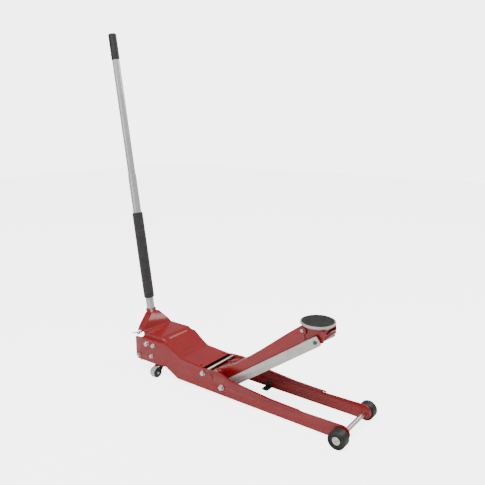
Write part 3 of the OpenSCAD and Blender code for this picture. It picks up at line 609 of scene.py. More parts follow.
def make_finishes(look):
    """Fills FINISH with the jack's and the stage's materials."""
    red = tuple(look.paint)
    deep = tuple(c * 0.86 for c in red)
    FINISH.update({
        "paint": finish("red_enamel", red, deep, (0.26, 0.36), grain=420, bump=0.12, depth=0.0004, coat=0.55,
                        coat_rough=0.12, scuffs=0.12, scuff_tone=(0.55, 0.2, 0.18), cloud=9),
        "black": finish("black_enamel", (0.018, 0.018, 0.02), (0.028, 0.027, 0.028), (0.35, 0.5), grain=500,
                        bump=0.15, coat=0.2, scuffs=0.1, scuff_tone=(0.1, 0.1, 0.1)),
        "zinc": finish("bright_zinc", tuple(look.zinc), tuple(c * 0.9 for c in look.zinc), (0.24, 0.38),
                       metallic=1.0, grain=260, stretch=(0.15, 1, 1), bump=0.06, scuffs=0.12,
                       scuff_tone=(0.45, 0.45, 0.44), cloud=30),
        "bar": finish("white_zinc", (0.70, 0.69, 0.64), (0.60, 0.59, 0.55), (0.34, 0.46), metallic=0.5, grain=240,
                      stretch=(0.2, 1, 1), bump=0.08, scuffs=0.2, scuff_tone=(0.5, 0.5, 0.48), cloud=22),
        "tube": finish("satin_chrome", (0.62, 0.63, 0.65), (0.56, 0.57, 0.59), (0.24, 0.34), metallic=0.45, grain=300,
                       stretch=(1, 1, 0.1), bump=0.04, scuffs=0.08, scuff_tone=(0.6, 0.6, 0.6), cloud=12),
        "steel": finish("ground_steel", (0.62, 0.62, 0.63), (0.55, 0.55, 0.56), (0.2, 0.34), metallic=1.0,
                        grain=320, bump=0.06, scuffs=0.25, scuff_tone=(0.35, 0.33, 0.32)),
        "iron": finish("cast_block", (0.10, 0.105, 0.11), (0.07, 0.073, 0.078), (0.55, 0.75), metallic=0.35,
                       grain=260, bump=0.5, depth=0.0006, scuffs=0.15, scuff_tone=(0.25, 0.25, 0.25)),
        "spring": finish("spring_steel", (0.12, 0.12, 0.125), (0.17, 0.16, 0.155), (0.3, 0.45), metallic=0.8,
                         grain=500, bump=0.1, scuffs=0.2, scuff_tone=(0.4, 0.38, 0.35)),
        "nylon": finish("black_nylon", (0.012, 0.012, 0.013), (0.022, 0.022, 0.023), (0.38, 0.52), grain=600,
                        bump=0.12, scuffs=0.3, scuff_tone=(0.06, 0.06, 0.06), cloud=25),
        "rubber": finish("pad_rubber", (0.030, 0.031, 0.030), (0.045, 0.046, 0.045), (0.6, 0.78), grain=700,
                         bump=0.3, scuffs=0.25, scuff_tone=(0.12, 0.12, 0.12), cloud=30, spec=0.3),
        "grip": finish("grip_vinyl", (0.014, 0.014, 0.015), (0.024, 0.024, 0.025), (0.4, 0.55), grain=500,
                       bump=0.2, scuffs=0.15, scuff_tone=(0.06, 0.06, 0.06), cloud=30),
        "foam": finish("foam_sleeve", (0.038, 0.036, 0.036), (0.055, 0.052, 0.052), (0.82, 0.95), grain=520,
                       bump=0.75, depth=0.0009, scuffs=0.1, scuff_tone=(0.1, 0.1, 0.1), cloud=40, sheen=0.25,
                       spec=0.2),
        "floor": finish("studio_floor", (0.93, 0.93, 0.93), (0.91, 0.91, 0.91), (0.6, 0.7), grain=30, bump=0.0,
                        scuffs=0.0, cloud=1.0, spec=0.15),
    })


# ---------------------------------------------------------------- settings

class JackLook(bpy.types.PropertyGroup):
    """Sizes and colours of the finished jack."""
    paint: FloatVectorProperty(name="Paint", description="Colour of the painted frame", subtype="COLOR",
                               size=3, min=0, max=1, default=(0.33, 0.006, 0.008))
    zinc: FloatVectorProperty(name="Zinc", description="Colour of the plated parts", subtype="COLOR",
                              size=3, min=0, max=1, default=(0.78, 0.77, 0.73))
    edge: FloatProperty(name="Plate edge", description="Rounding of the cut plates' edges", subtype="DISTANCE",
                        unit="LENGTH", default=0.0009, min=0.0002, max=0.002)
    stud: FloatProperty(name="Pad stud", description="Half diagonal of one stud on the saddle pad",
                        subtype="DISTANCE", unit="LENGTH", default=0.0062, min=0.003, max=0.0075)
    wire: FloatProperty(name="Return spring wire", description="Radius of the return springs' wire",
                        subtype="DISTANCE", unit="LENGTH", default=0.0011, min=0.0006, max=0.0018)
    turns: IntProperty(name="Return spring turns", description="Turns in each return spring", default=74,
                       min=30, max=110)
    weld: FloatProperty(name="Weld bead", description="Radius of one drop of a weld bead", subtype="DISTANCE",
                        unit="LENGTH", default=0.0022, min=0.001, max=0.004)


def look():
    """The jack's settings."""
    return bpy.context.scene.jack_look


# ---------------------------------------------------------------- frame pieces

def rail_line():
    """The upper edge of the side plate from its front end to the cover."""
    a, p, top = Place.axle.x, Place.pivot.x, Place.low + 0.059
    return [(a - 0.163, top), (a - 0.215, top + 0.0005), (a - 0.305, top + 0.003), (a - 0.400, top + 0.011),
            (p + 0.104, top + 0.021), (p + 0.064, 0.104), (p + 0.029, 0.109),
            (Place.cover_front, Place.cover_low)]


def cover_line():
    """The underside of the cover from its front edge to the rear."""
    return [(Place.cover_front, Place.cover_low), (Place.knee, Place.cover_low + 0.008),
            (Place.flat, Place.cover_top - SHEET), (Place.rear + 0.036, Place.cover_top - SHEET)]


def cover_crest():
    """Where the cover's slope meets the top of the side walls."""
    (a, low), (b, high) = cover_line()[1:3]
    return a + (b - a) * (Place.wall - low) / (high - low)


def side_shift(x):
    """How far the plate stands outside its narrow part at x."""
    full = Place.wide - Place.out
    t = (Place.flare - x) / 0.126
    soft = 0.065  # share of the slope that each bend takes up
    if t <= -soft:
        return 0.0
    if t >= 1 + soft:
        return full
    if t < soft:
        return full * (t + soft) ** 2 / (4 * soft)
    if t > 1 - soft:
        return full * (1 - (1 + soft - t) ** 2 / (4 * soft))
    return full * t


def bolt_places():
    """(x, z) of the three bolts on each side of the box, and of the one on the rail."""
    r = Place.rear
    box = [(r + 0.113, Place.socket.z + 0.001), (r + 0.020, 0.073), (r + 0.101, 0.088)]
    rail = (Place.pivot.x - 0.039, Place.pivot.z + 0.007)
    return box, rail


def side_plate_mesh():
    """The left side plate: rail, rear box, bend between them and lip."""
    r, low, a = Place.rear, Place.low, Place.axle.x
    outline = [(Place.pivot.x + 0.104, low), (r + 0.242, low + 0.001), (r + 0.181, Place.box_low),
               (r + 0.009, Place.box_low), (r, 0.073), (r, Place.wall), (cover_crest(), Place.wall),
               (Place.knee, Place.cover_low + 0.008)]
    outline += rail_line()[::-1]
    outline = [tuple(p) for p in rounded(outline, 0.006, steps=4)]
    nose = 0.0295
    outline += [(a + nose * math.sin(t), low + nose + nose * math.cos(t))
                for t in [math.pi * k / 20 for k in range(21)]]
    box, rail = bolt_places()
    holes = [ring(a, Place.axle.z, 0.009, 40), ring(Place.pivot.x, Place.pivot.z, 0.013, 48),
             ring(Place.link.x, Place.link.z, 0.007, 32), ring(Place.socket.x, Place.socket.z, 0.008, 32),
             ring(rail[0], rail[1], 0.006, 32)]
    holes += [ring(x, z, 0.006, 32) for x, z in box]
    bm = flat_plate(outline, holes, Place.out - PLATE, Place.out, look().edge)
    # cuts across the plate, so that both bends come out round
    cuts = [bend + 0.009 - 0.0045 * k for bend in (Place.flare, Place.rear + 0.117) for k in range(5)]
    for x in cuts:
        bmesh.ops.bisect_plane(bm, geom=bm.verts[:] + bm.edges[:] + bm.faces[:], plane_co=(x, 0, 0),
                               plane_no=(1, 0, 0))
    for v in bm.verts:
        v.co.y += side_shift(v.co.x)
    line = rail_line()
    lip = [tuple(p) for p in rounded(line, 0.02, closed=False)]
    lip = lip + [(x, z - 0.003) for x, z in lip[::-1]]
    flange = flat_plate(lip, [], Place.out - 0.002, Place.out + 0.008, 0.0012)
    return join(bm, flange)


class JACK_OT_side_plates(bpy.types.Operator):
    """Cuts and folds the two side plates with their lips"""
    bl_idname = "jack.side_plates"
    bl_label = "Side plates"

    def execute(self, context):
        left = side_plate_mesh()
        right = mirrored(left)
        piece("side_plate_left", left, FINISH["paint"], "frame", ["side_plate_left"])
        piece("side_plate_right", right, FINISH["paint"], "frame", ["side_plate_right"])
        return {"FINISHED"}


def cover_section(x, top):
    """Half of the cover across the jack at x: flat top, bend, skirt, bend, wing."""
    half = Place.out - 0.003
    wing = Place.wall + SHEET
    edge = Place.out + side_shift(x) - 0.0002
    rise = top - wing
    if rise < 0.001:
        end = edge - 0.003 if rise < -0.0002 else edge
        return [(half - 0.004 + (end - half + 0.004) * k / 10, top) for k in range(11)]
    r = min(0.004, rise / 2)
    turn = [math.pi / 8 * k for k in range(5)]
    upper = [(half - r + r * math.sin(t), top - r + r * math.cos(t)) for t in turn]
    lower = [(half + r - r * math.cos(t), wing + r - r * math.sin(t)) for t in turn]
    return upper + lower + [(edge, wing)]


class JACK_OT_cover(bpy.types.Operator):
    """Presses the cover over the power unit, with its panel, skirts and wings"""
    bl_idname = "jack.cover"
    bl_label = "Cover"

    def execute(self, context):
        line = [(x, z + SHEET) for x, z in cover_line()]
        path = [Vector(p) for p in rounded(line, 0.018, closed=False, steps=6)]
        # finer steps along the sheet
        fine = []
        for p, q in zip(path, path[1:]):
            n = max(1, int((q - p).length / 0.004))
            fine += [p.lerp(q, k / n) for k in range(n)]
        fine.append(path[-1])
        cols = [0.0025 * k for k in range(34)]
        slope = Place.knee - Place.flat
        bm = bmesh.new()
        rows = []
        for p in fine:
            t = (Place.knee - p.x) / slope
            half = [(y, p.y) for y in cols] + cover_section(p.x, p.y)
            row = []
            for y, z in [(-y, z) for y, z in half[:0:-1]] + half:
                # the shallow panel pressed into the slope
                inside = min((t - 0.2) * slope, (0.88 - t) * slope, 0.062 - abs(y))
                sink = max(0.0, min(1.0, inside / 0.004))
                sink = sink * sink * (3 - 2 * sink) * 0.0016
                row.append(bm.verts.new((p.x - sink * 0.5, y, z - sink)))
            rows.append(row)
        for p, q in zip(rows, rows[1:]):
            for k in range(len(p) - 1):
                bm.faces.new((p[k], p[k + 1], q[k + 1], q[k]))
        bmesh.ops.recalc_face_normals(bm, faces=bm.faces)
        if sum(f.normal.z for f in bm.faces) < 0:
            bmesh.ops.reverse_faces(bm, faces=bm.faces)
        mesh = bpy.data.meshes.new("sheet")
        bm.to_mesh(mesh)
        bm.free()
        obj = bpy.data.objects.new("sheet", mesh)
        bpy.context.collection.objects.link(obj)
        thick = obj.modifiers.new("thickness", "SOLIDIFY")
        thick.thickness = SHEET
        thick.offset = -1
        bpy.context.view_layer.update()
        done = bpy.data.meshes.new_from_object(obj.evaluated_get(bpy.context.evaluated_depsgraph_get()))
        bpy.data.objects.remove(obj)
        bm = bmesh.new()
        bm.from_mesh(done)
        piece("cover", bm, FINISH["paint"], "frame", ["cover"], edge=0.0007)
        return {"FINISHED"}


class JACK_OT_frame_fittings(bpy.types.Operator):
    """Makes the cross plate, tie bar, arm stops, shelves, shaft, collars and spacers of the frame"""
    bl_idname = "jack.frame_fittings"
    bl_label = "Frame fittings"

    def execute(self, context):
        plan = (("rear_cross_plate", "paint", "red_paint", 0.0009), ("arm_stops", "black", "black_paint", 0.0012),
                ("caster_shelf_right", "paint", "red_paint", 0.0009),
                ("caster_shelf_left", "paint", "red_paint", 0.0009),
                ("shaft_collars", "zinc", "zinc", 0.0006), ("axle_spacers", "zinc", "zinc", 0.0006),
                ("link_spacers", "zinc", "zinc", 0.0006), ("yoke_shaft", "zinc", "zinc", 0.0012))
        for node, kind, slot, edge in plan:
            piece(node, copied(node), FINISH[kind], "frame", [node], edge=edge)
        tie = rod(middle("tie_bar"), 0.005, Place.out - PLATE, 0.0007, 40)
        piece("tie_bar", tie, FINISH["zinc"], "frame", ["tie_bar"])
        shaft = rod(Place.pivot, 0.013, span("main_shaft").y / 2, 0.0014, 56)
        piece("main_shaft", shaft, FINISH["paint"], "frame", ["main_shaft"])
        half = span("front_axle").y / 2
        end = [(0, half - 0.006), (0.0022, half - 0.006), (0.0028, half - 0.0005), (0.0036, half), (0.0078, half),
               (0.009, half - 0.0012)]
        bm = lathe([(r, -z) for r, z in end] + end[::-1], 48)
        piece("front_axle", turned(bm, Place.axle, (0, 1, 0)), FINISH["zinc"], "frame", ["front_axle"])
        return {"FINISHED"}


class JACK_OT_frame_bolts(bpy.types.Operator):
    """Sets every bolt, nut and washer of the frame in place"""
    bl_idname = "jack.frame_bolts"
    bl_label = "Frame bolts"

    def execute(self, context):
        box, rail = bolt_places()
        spots = [(Vector((x, side * Place.wide, z)), (0, side, 0), 0.4 + k * 0.7)
                 for side in (-1, 1) for k, (x, z) in enumerate(box)]
        bm = fasteners(spots, hex_head(0.016, 0.007, 0.012, 0.020, 0.020), FINISH["zinc"])
        spots = [(Vector((rail[0], side * Place.out, rail[1])), (0, side, 0), 0.2) for side in (-1, 1)]
        bm = join(bm, fasteners(spots, hex_head(0.019, 0.008, 0.012, 0.018, 0.024), FINISH["zinc"]))
        piece("frame_bolts", bm, FINISH["zinc"], "frame", ["frame_bolts"], sharp=28)
        spots = [(Vector((Place.link.x, s * Place.out, Place.link.z)), (0, s, 0), 0.9) for s in (-1, 1)]
        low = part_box("link_bolts")[1].y - 0.011 - Place.arm_half - 0.001
        bm = fasteners(spots, hex_head(0.019, 0.009, 0.014, low, 0.025), FINISH["zinc"])
        piece("link_bolts", bm, FINISH["zinc"], "frame", ["link_bolts"], sharp=28)
        spots = [(Vector((Place.socket.x, s * Place.wide, Place.socket.z)), (0, s, 0), 0.3) for s in (-1, 1)]
        bm = fasteners(spots, hex_head(0.020, 0.008, 0.016, 0, 0.024), FINISH["zinc"])
        piece("yoke_nuts", bm, FINISH["zinc"], "frame", ["yoke_nuts"], sharp=28)
        at = middle("cover_screws")
        side = span("cover_screws").y / 2 - 0.006
        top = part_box("cover_screws")[1].z - 0.0035
        head = join(lathe(rounded([(0, 0), (0.006, 0), (0.0055, 0.0026), (0.003, 0.0035), (0, 0.0035)], 0.0008), 40),
                    lathe([(0, -0.013), (0.002, -0.014), (0.003, -0.012), (0.003, 0.001), (0, 0.001)], 24))
        spots = [(Vector((at.x, s * side, top)), (0, 0, 1), 0.0) for s in (-1, 1)]
        piece("cover_screws", fasteners(spots, head, FINISH["paint"]), FINISH["paint"], "frame", ["cover_screws"],
              sharp=28)
        lift = span("axle_washers").z / 2
        low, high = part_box("axle_washers")
        disc = lathe(rounded([(0.009, 0), (lift, 0), (lift, 0.0032), (0.009, 0.0032)], 0.0006), 56)
        spots = [(Vector((Place.axle.x, s * (high.y - 0.0035), Place.axle.z)), (0, s, 0), 0.0) for s in (-1, 1)]
        piece("axle_washers", fasteners(spots, disc, FINISH["zinc"]), FINISH["zinc"], "frame", ["axle_washers"])
        return {"FINISHED"}


# ---------------------------------------------------------------- wheels

class JACK_OT_front_wheels(bpy.types.Operator):
    """Turns the two front wheels"""
    bl_idname = "jack.front_wheels"
    bl_label = "Front wheels"

    def execute(self, context):
        for side, name in ((1, "front_wheel_left"), (-1, "front_wheel_right")):
            size = span(name)
            r, w = size.z / 2, size.y
            outline = [(0.00905, 0.0), (0.015, 0.0), (0.018, 0.002), (r - 0.008, 0.002), (r - 0.007, 0.0),
                       (r - 0.0025, 0.0), (r, 0.0025), (r, w - 0.0025), (r - 0.0025, w), (r - 0.0065, w),
                       (r - 0.0078, w - 0.0048), (0.0162, w - 0.005), (0.0155, w - 0.005), (0.00905, w - 0.005)]
            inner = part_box(name)[0].y if side > 0 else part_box(name)[1].y
            bm = turned(lathe(rounded(outline, 0.0011), 96), Vector((Place.axle.x, inner, Place.axle.z)),
                        (0, side, 0))
            piece(name, bm, FINISH["nylon"], "wheel_left" if side > 0 else "wheel_right", [name])
        return {"FINISHED"}


class JACK_OT_casters(bpy.types.Operator):
    """Makes both rear casters: fork, wheel, axle and kingpin nut"""
    bl_idname = "jack.casters"
    bl_label = "Rear casters"

    def execute(self, context):
        for side, hand in ((1, "left"), (-1, "right")):
            body = "caster_" + hand
            name = "caster_fork_" + hand
            piece(name, copied(name), FINISH["black"], body, [name], edge=0.0008)
            name = "caster_wheel_" + hand
            at, size = middle(name), span(name)
            r, h = size.z / 2, size.x / 2
            outline = [(0.00405, -h), (0.009, -h), (0.0105, 0.003 - h), (r - 0.0065, 0.003 - h), (r - 0.0055, -h),
                       (r - 0.0016, -h), (r, 0.0016 - h), (r, 0), (r, h - 0.0016), (r - 0.0016, h),
                       (r - 0.0055, h), (r - 0.0065, h - 0.003), (0.0105, h - 0.003), (0.009, h), (0.00405, h)]
            bm = turned(lathe(rounded(outline, 0.0007), 80), at, (1, 0, 0))
            piece(name, bm, FINISH["bar"], "caster_roll_" + hand, [name])
            name = "caster_axle_" + hand
            at, size = middle(name), span(name)
            e = size.x / 2
            outline = [(0, -e), (0.004, -e), (0.0068, -e + 0.0015), (0.007, -e + 0.003), (0.004, -e + 0.003),
                       (0.004, e - 0.003), (0.007, e - 0.003), (0.0068, e - 0.0015), (0.004, e), (0, e)]
            piece(name, turned(lathe(outline, 40), at, (1, 0, 0)), FINISH["zinc"], body, [name])
            name = "caster_nut_" + hand
            low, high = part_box(name)
            at = Vector(((low.x + high.x) / 2, (low.y + high.y) / 2, low.z))
            nut = hex_head(0.019, high.z - low.z, 0.012, 0)
            piece(name, turned(nut, at, (0, 0, 1)), FINISH["zinc"], body, [name], sharp=28)
        return {"FINISHED"}


# ---------------------------------------------------------------- lifting linkage

ARM_TURN = math.atan2(Place.front.z - Place.pivot.z, Place.front.x - Place.pivot.x)
ARM_LEN = math.hypot(Place.front.z - Place.pivot.z, Place.front.x - Place.pivot.x)


def along_arm(points):
    """Takes flat points drawn along the arm to the X-Z plane."""
    c, s = math.cos(ARM_TURN), math.sin(ARM_TURN)
    return [(Place.pivot.x + u * c - n * s, Place.pivot.z + u * s + n * c) for u, n in points]


class JACK_OT_lift_arm(bpy.types.Operator):
    """Folds and welds the lift arm: two cheeks, top sheet, web, shaft tube"""
    bl_idname = "jack.lift_arm"
    bl_label = "Lift arm"

    def execute(self, context):
        top = [(0.008, 0.018), (0.062, 0.004), (0.124, 0.0), (ARM_LEN * 0.5, 0.004), (ARM_LEN - 0.07, 0.0155)]
        lever = math.radians(10.5) - ARM_TURN - math.pi / 2
        d = Vector((math.cos(lever), math.sin(lever)))
        side = Vector((-d.y, d.x)) * 0.019
        tip = d * 0.039
        foot = [tuple(tip + Vector((math.cos(t), math.sin(t))) * 0.019)
                for t in [lever - math.pi / 2 + math.pi * k / 14 for k in range(15)]]
        boss = [(0.026 * math.cos(t), 0.026 * math.sin(t))
                for t in [math.radians(100 + 105 * k / 10) for k in range(11)]]
        nose = [(ARM_LEN + 0.017 * math.cos(t), 0.017 * math.sin(t))
                for t in [math.radians(-90 + 170 * k / 12) for k in range(13)]]
        outline = foot + [(0.030, -0.030), (0.075, -0.046), (0.12, -0.048), (ARM_LEN * 0.6, -0.046)]
        outline += [(ARM_LEN - 0.04, -0.043), (ARM_LEN - 0.012, -0.030)] + nose
        outline += top[::-1] + boss
        slot = bar(tuple(d * 0.0315), tuple(d * 0.0425), 0.017, 12)
        holes = [ring(0, 0, 0.01305, 48), ring(ARM_LEN, 0, 0.007, 32), slot]
        h = Place.arm_half
        cheek = flat_plate(along_arm(outline), [along_arm(x) for x in holes], h - PLATE, h, 0.0018)
        parts = [cheek, mirrored(cheek)]
        sheet_top = [tuple(p) for p in rounded(top, 0.02, closed=False)]
        sheet = sheet_top + [(u, n - PLATE) for u, n in sheet_top[::-1]]
        parts.append(flat_plate(along_arm(sheet), [], -h + 0.003, h - 0.003, 0.0009))
        u = ARM_LEN * 0.42
        web = [(u, -0.0425), (u + 0.04, -0.0425), (u + 0.04, -0.0375), (u, -0.0375)]
        gap = h - PLATE
        parts.append(flat_plate(along_arm(web), [], -gap, gap, 0.0008))
        bore, tube_r = 0.01305, 0.019
        tube = lathe(rounded([(bore, -gap), (tube_r, -gap), (tube_r, gap), (bore, gap)], 0.0008), 56)
        parts.append(turned(tube, Place.pivot, (0, 1, 0)))
        lines = []
        for s in (-1, 1):
            y = s * gap
            lines.append([Vector((Place.pivot.x + tube_r * math.cos(t), y, Place.pivot.z + tube_r * math.sin(t)))
                          for t in [2 * math.pi * k / 30 for k in range(31)]])
            lines.append([Vector((x, y, z)) for x, z in along_arm([(u, n - PLATE) for u, n in sheet_top])])
        parts.append(bead(lines, FINISH["paint"], look().weld))
        piece("lift_arm", join(*parts), FINISH["paint"], "arm", ["lift_arm"])
        pin = rod(Place.front, 0.007, span("saddle_pin").y / 2, 0.0012, 40)
        piece("saddle_pin", pin, FINISH["steel"], "arm", ["saddle_pin"])
        return {"FINISHED"}


class JACK_OT_link_bars(bpy.types.Operator):
    """Cuts the two plated link bars"""
    bl_idname = "jack.link_bars"
    bl_label = "Link bars"

    def execute(self, context):
        a, b = (Place.link.x, Place.link.z), (Place.end.x, Place.end.z)
        inner = Place.arm_half + 0.002
        outline = [(-0.019 * math.sin(math.pi * k / 16), 0.019 * math.cos(math.pi * k / 16)) for k in range(17)]
        tip = ARM_LEN + 0.017
        corners = [(ARM_LEN, -0.019), (tip, -0.019), (tip, 0.019), (ARM_LEN, 0.019)]
        outline += [tuple(p) for p in rounded(corners, 0.0075, closed=False)]
        down = Vector((a[0] - Place.pivot.x, a[1] - Place.pivot.z))
        outline = [(x + down.x, z + down.y) for x, z in along_arm(outline)]
        bm = flat_plate(outline, [ring(*a, 0.00705, 40), ring(*b, 0.00705, 40)], inner, inner + PLATE, 0.0009)
        other = mirrored(bm)
        piece("link_bar_left", bm, FINISH["bar"], "link_left", ["link_bar_left"])
        piece("link_bar_right", other, FINISH["bar"], "link_right", ["link_bar_right"])
        return {"FINISHED"}


class JACK_OT_saddle(bpy.types.Operator):
    """Makes the level bracket, the dished saddle plate with its post and the studded rubber pad"""
    bl_idname = "jack.saddle"
    bl_label = "Saddle"

    def execute(self, context):
        piece("saddle_bracket", copied("saddle_bracket"), FINISH["paint"], "bracket", ["saddle_bracket"],
              edge=0.0011)
        piece("link_end_pins", copied("link_end_pins"), FINISH["spring"], "bracket", ["link_end_pins"],
              edge=0.0006)
        x = Place.post.x
        pad_r = span("saddle_pad").x / 2
        low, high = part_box("saddle_plate")
        r = (high.x - low.x) / 2
        pad_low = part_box("saddle_pad")[0].z
        base = pad_low - 0.006
        rim = high.z
        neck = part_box("saddle_bracket")[1].z + 0.0005
        outline = [(0, low.z), (0.0125, low.z), (0.0125, neck), (0.022, neck), (0.022, base), (r - 0.006, base),
                   (r, base + 0.006), (r, rim), (pad_r + 0.0002, rim), (pad_r + 0.0002, pad_low), (0, pad_low)]
        bm = lathe([tuple(p) for p in rounded(outline[1:-1], 0.0011)] + [outline[-1], outline[0]], 96)
        bm.transform(Matrix.Translation((x, 0, 0)))
        piece("saddle_plate", bm, FINISH["bar"], "saddle", ["saddle_plate"])
        piece("saddle_clip", copied("saddle_clip"), FINISH["spring"], "saddle", ["saddle_clip"],
              edge=0.0003)
        floor = Place.top - 0.0016
        disc = [(0, pad_low), (pad_r, pad_low), (pad_r, Place.top - 0.001), (pad_r - 0.0015, Place.top),
                (pad_r - 0.005, Place.top), (pad_r - 0.006, floor), (0, floor)]
        pad = lathe([disc[0]] + [tuple(p) for p in rounded(disc[1:-1], 0.0005)] + [disc[-1]], 96)
        pad.transform(Matrix.Translation((x, 0, 0)))
        studs = tree_run("Pad studs", build_studs, bpy.data.meshes.new("studs"), {
            "Pad radius": pad_r - 0.003, "Pitch": 0.0095, "Stud": look().stud, "Rise": 0.0016,
            "Material": FINISH["rubber"]})
        studs.transform(Matrix.Translation((x, 0, floor)) @ Matrix.Rotation(0.3, 4, "Z"))
        piece("saddle_pad", join(pad, studs), FINISH["rubber"], "saddle", ["saddle_pad"], sharp=30)
        return {"FINISHED"}


# ---------------------------------------------------------------- power unit

class JACK_OT_power_unit(bpy.types.Operator):
    """Makes the pump block, reservoir, ram, plunger and valve inside the frame"""
    bl_idname = "jack.power_unit"
    bl_label = "Power unit"

    def execute(self, context):
        plan = (("pump_block", "iron", "iron", "frame", 0.002), ("gland_nut", "zinc", "zinc", "frame", 0.0008),
                ("filler_plug", "rubber", "rubber", "frame", 0.0012), ("ram_head", "iron", "iron", "ram_set", 0.0018),
                ("ram_pin", "steel", "steel", "ram_set", 0.001), ("release_valve", "zinc", "zinc", "valve", 0.0007))
        for node, kind, slot, body, edge in plan:
            piece(node, copied(node), FINISH[kind], body, [node], edge=edge)
        for node, kind, slot, body in (("reservoir", "iron", "iron", "frame"), ("ram", "steel", "steel", "ram_set")):
            low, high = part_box(node)
            r, n = (high.z - low.z) / 2, high.x - low.x
            bm = lathe(rounded([(0, 0), (r, 0), (r, n), (0, n)], 0.0015), 80)
            if node == "reservoir":
                hole = span("ram").z / 2 + 0.00005
                bm.free()
                bm = lathe(rounded([(hole, 0.0), (r - 0.002, 0.0), (r, 0.004), (r, 0.02), (r - 0.0012, 0.0225),
                                    (r, 0.025), (r, n - 0.004), (r - 0.002, n), (hole, n)], 0.0012), 80)
            piece(node, turned(bm, Vector((low.x, 0, (low.z + high.z) / 2)), (1, 0, 0)), FINISH[kind], body, [node])
        low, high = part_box("pump_plunger")
        r, n = 0.009, high.z - low.z
        bm = lathe(rounded([(0, 0), (r, 0), (r, n - 0.006), (0.017, n - 0.006), (0.017, n), (0, n)], 0.0011), 56)
        piece("pump_plunger", turned(bm, Vector(((low.x + high.x) / 2, 0, low.z)), (0, 0, 1)), FINISH["steel"],
              "plunger", ["pump_plunger"])
        return {"FINISHED"}


class JACK_OT_springs(bpy.types.Operator):
    """Winds the return springs and the plunger spring"""
    bl_idname = "jack.springs"
    bl_label = "Springs"

    def execute(self, context):
        low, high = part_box("return_springs")
        n = high.x - low.x
        coil = (high.z - low.z) / 2 - look().wire
        one = wound(n, coil, look().wire, look().turns, FINISH["spring"])
        y, z = high.y - (high.z - low.z) / 2, (low.z + high.z) / 2
        turned(one, Vector((low.x, y, z)), (1, 0, 0))
        springs = piece("return_springs", join(one, mirrored(one.copy())), FINISH["spring"], "frame",
                        ["return_springs"])
        loosen(springs)
        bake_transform(springs)
        low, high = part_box("plunger_spring")
        wire = 0.00125
        one = wound(high.z - low.z - 2 * wire, (high.x - low.x) / 2 - wire, wire, 4.0, FINISH["spring"])
        turned(one, Vector(((low.x + high.x) / 2, 0, low.z + wire)), (0, 0, 1))
        spring = piece("plunger_spring", one, FINISH["spring"], "frame", ["plunger_spring"])
        loosen(spring)
        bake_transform(spring)
        return {"FINISHED"}


def loosen(obj):
    """Takes a piece off its body so that it can stretch between two."""
    obj.parent = None
    if "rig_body" in obj:
        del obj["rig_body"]


# ---------------------------------------------------------------- handle

class JACK_OT_socket(bpy.types.Operator):
    """Folds the handle's socket and makes its roller, pin and clamp screw"""
    bl_idname = "jack.socket"
    bl_label = "Handle socket"

    def execute(self, context):
        piece("yoke", copied("yoke"), FINISH["paint"], "socket", ["yoke"], edge=0.0012)
        low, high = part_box("pump_roller")
        r, n = (high.z - low.z) / 2, high.y - low.y
        bm = lathe(rounded([(0.00505, 0), (r, 0), (r, n), (0.00505, n)], 0.0015), 56)
        piece("pump_roller", turned(bm, Vector((Place.roller.x, low.y, Place.roller.z)), (0, 1, 0)), FINISH["iron"],
              "roller", ["pump_roller"])
        pin = rod(Place.roller, 0.005, span("roller_pin").y / 2, 0.001, 40)
        piece("roller_pin", pin, FINISH["steel"], "socket", ["roller_pin"])
        screw = lathe(rounded([(0, 0.0185), (0.004, 0.0185), (0.004, 0.088), (0.0072, 0.088), (0.008, 0.0892),
                               (0.008, 0.0988), (0.0072, 0.1), (0, 0.1)], 0.0006), 40)
        screw.transform(Matrix.Rotation(math.pi / 2, 4, "Y"))
        tommy = lathe(rounded([(0, -0.012), (0.0025, -0.012), (0.0025, 0.043), (0, 0.043)], 0.0008), 24)
        tommy.transform(Matrix.Translation((0.094, 0, 0)) @ Matrix.Rotation(math.radians(97), 4, "X"))
        bm = join(screw, tommy)
        bm.transform(Matrix.Translation((0, 0, -0.088)) @ Matrix.Rotation(math.radians(270), 4, "Z"))
        on_handle(bm)
        piece("clamp_screw", bm, FINISH["zinc"], "clamp", ["clamp_screw"])
        return {"FINISHED"}


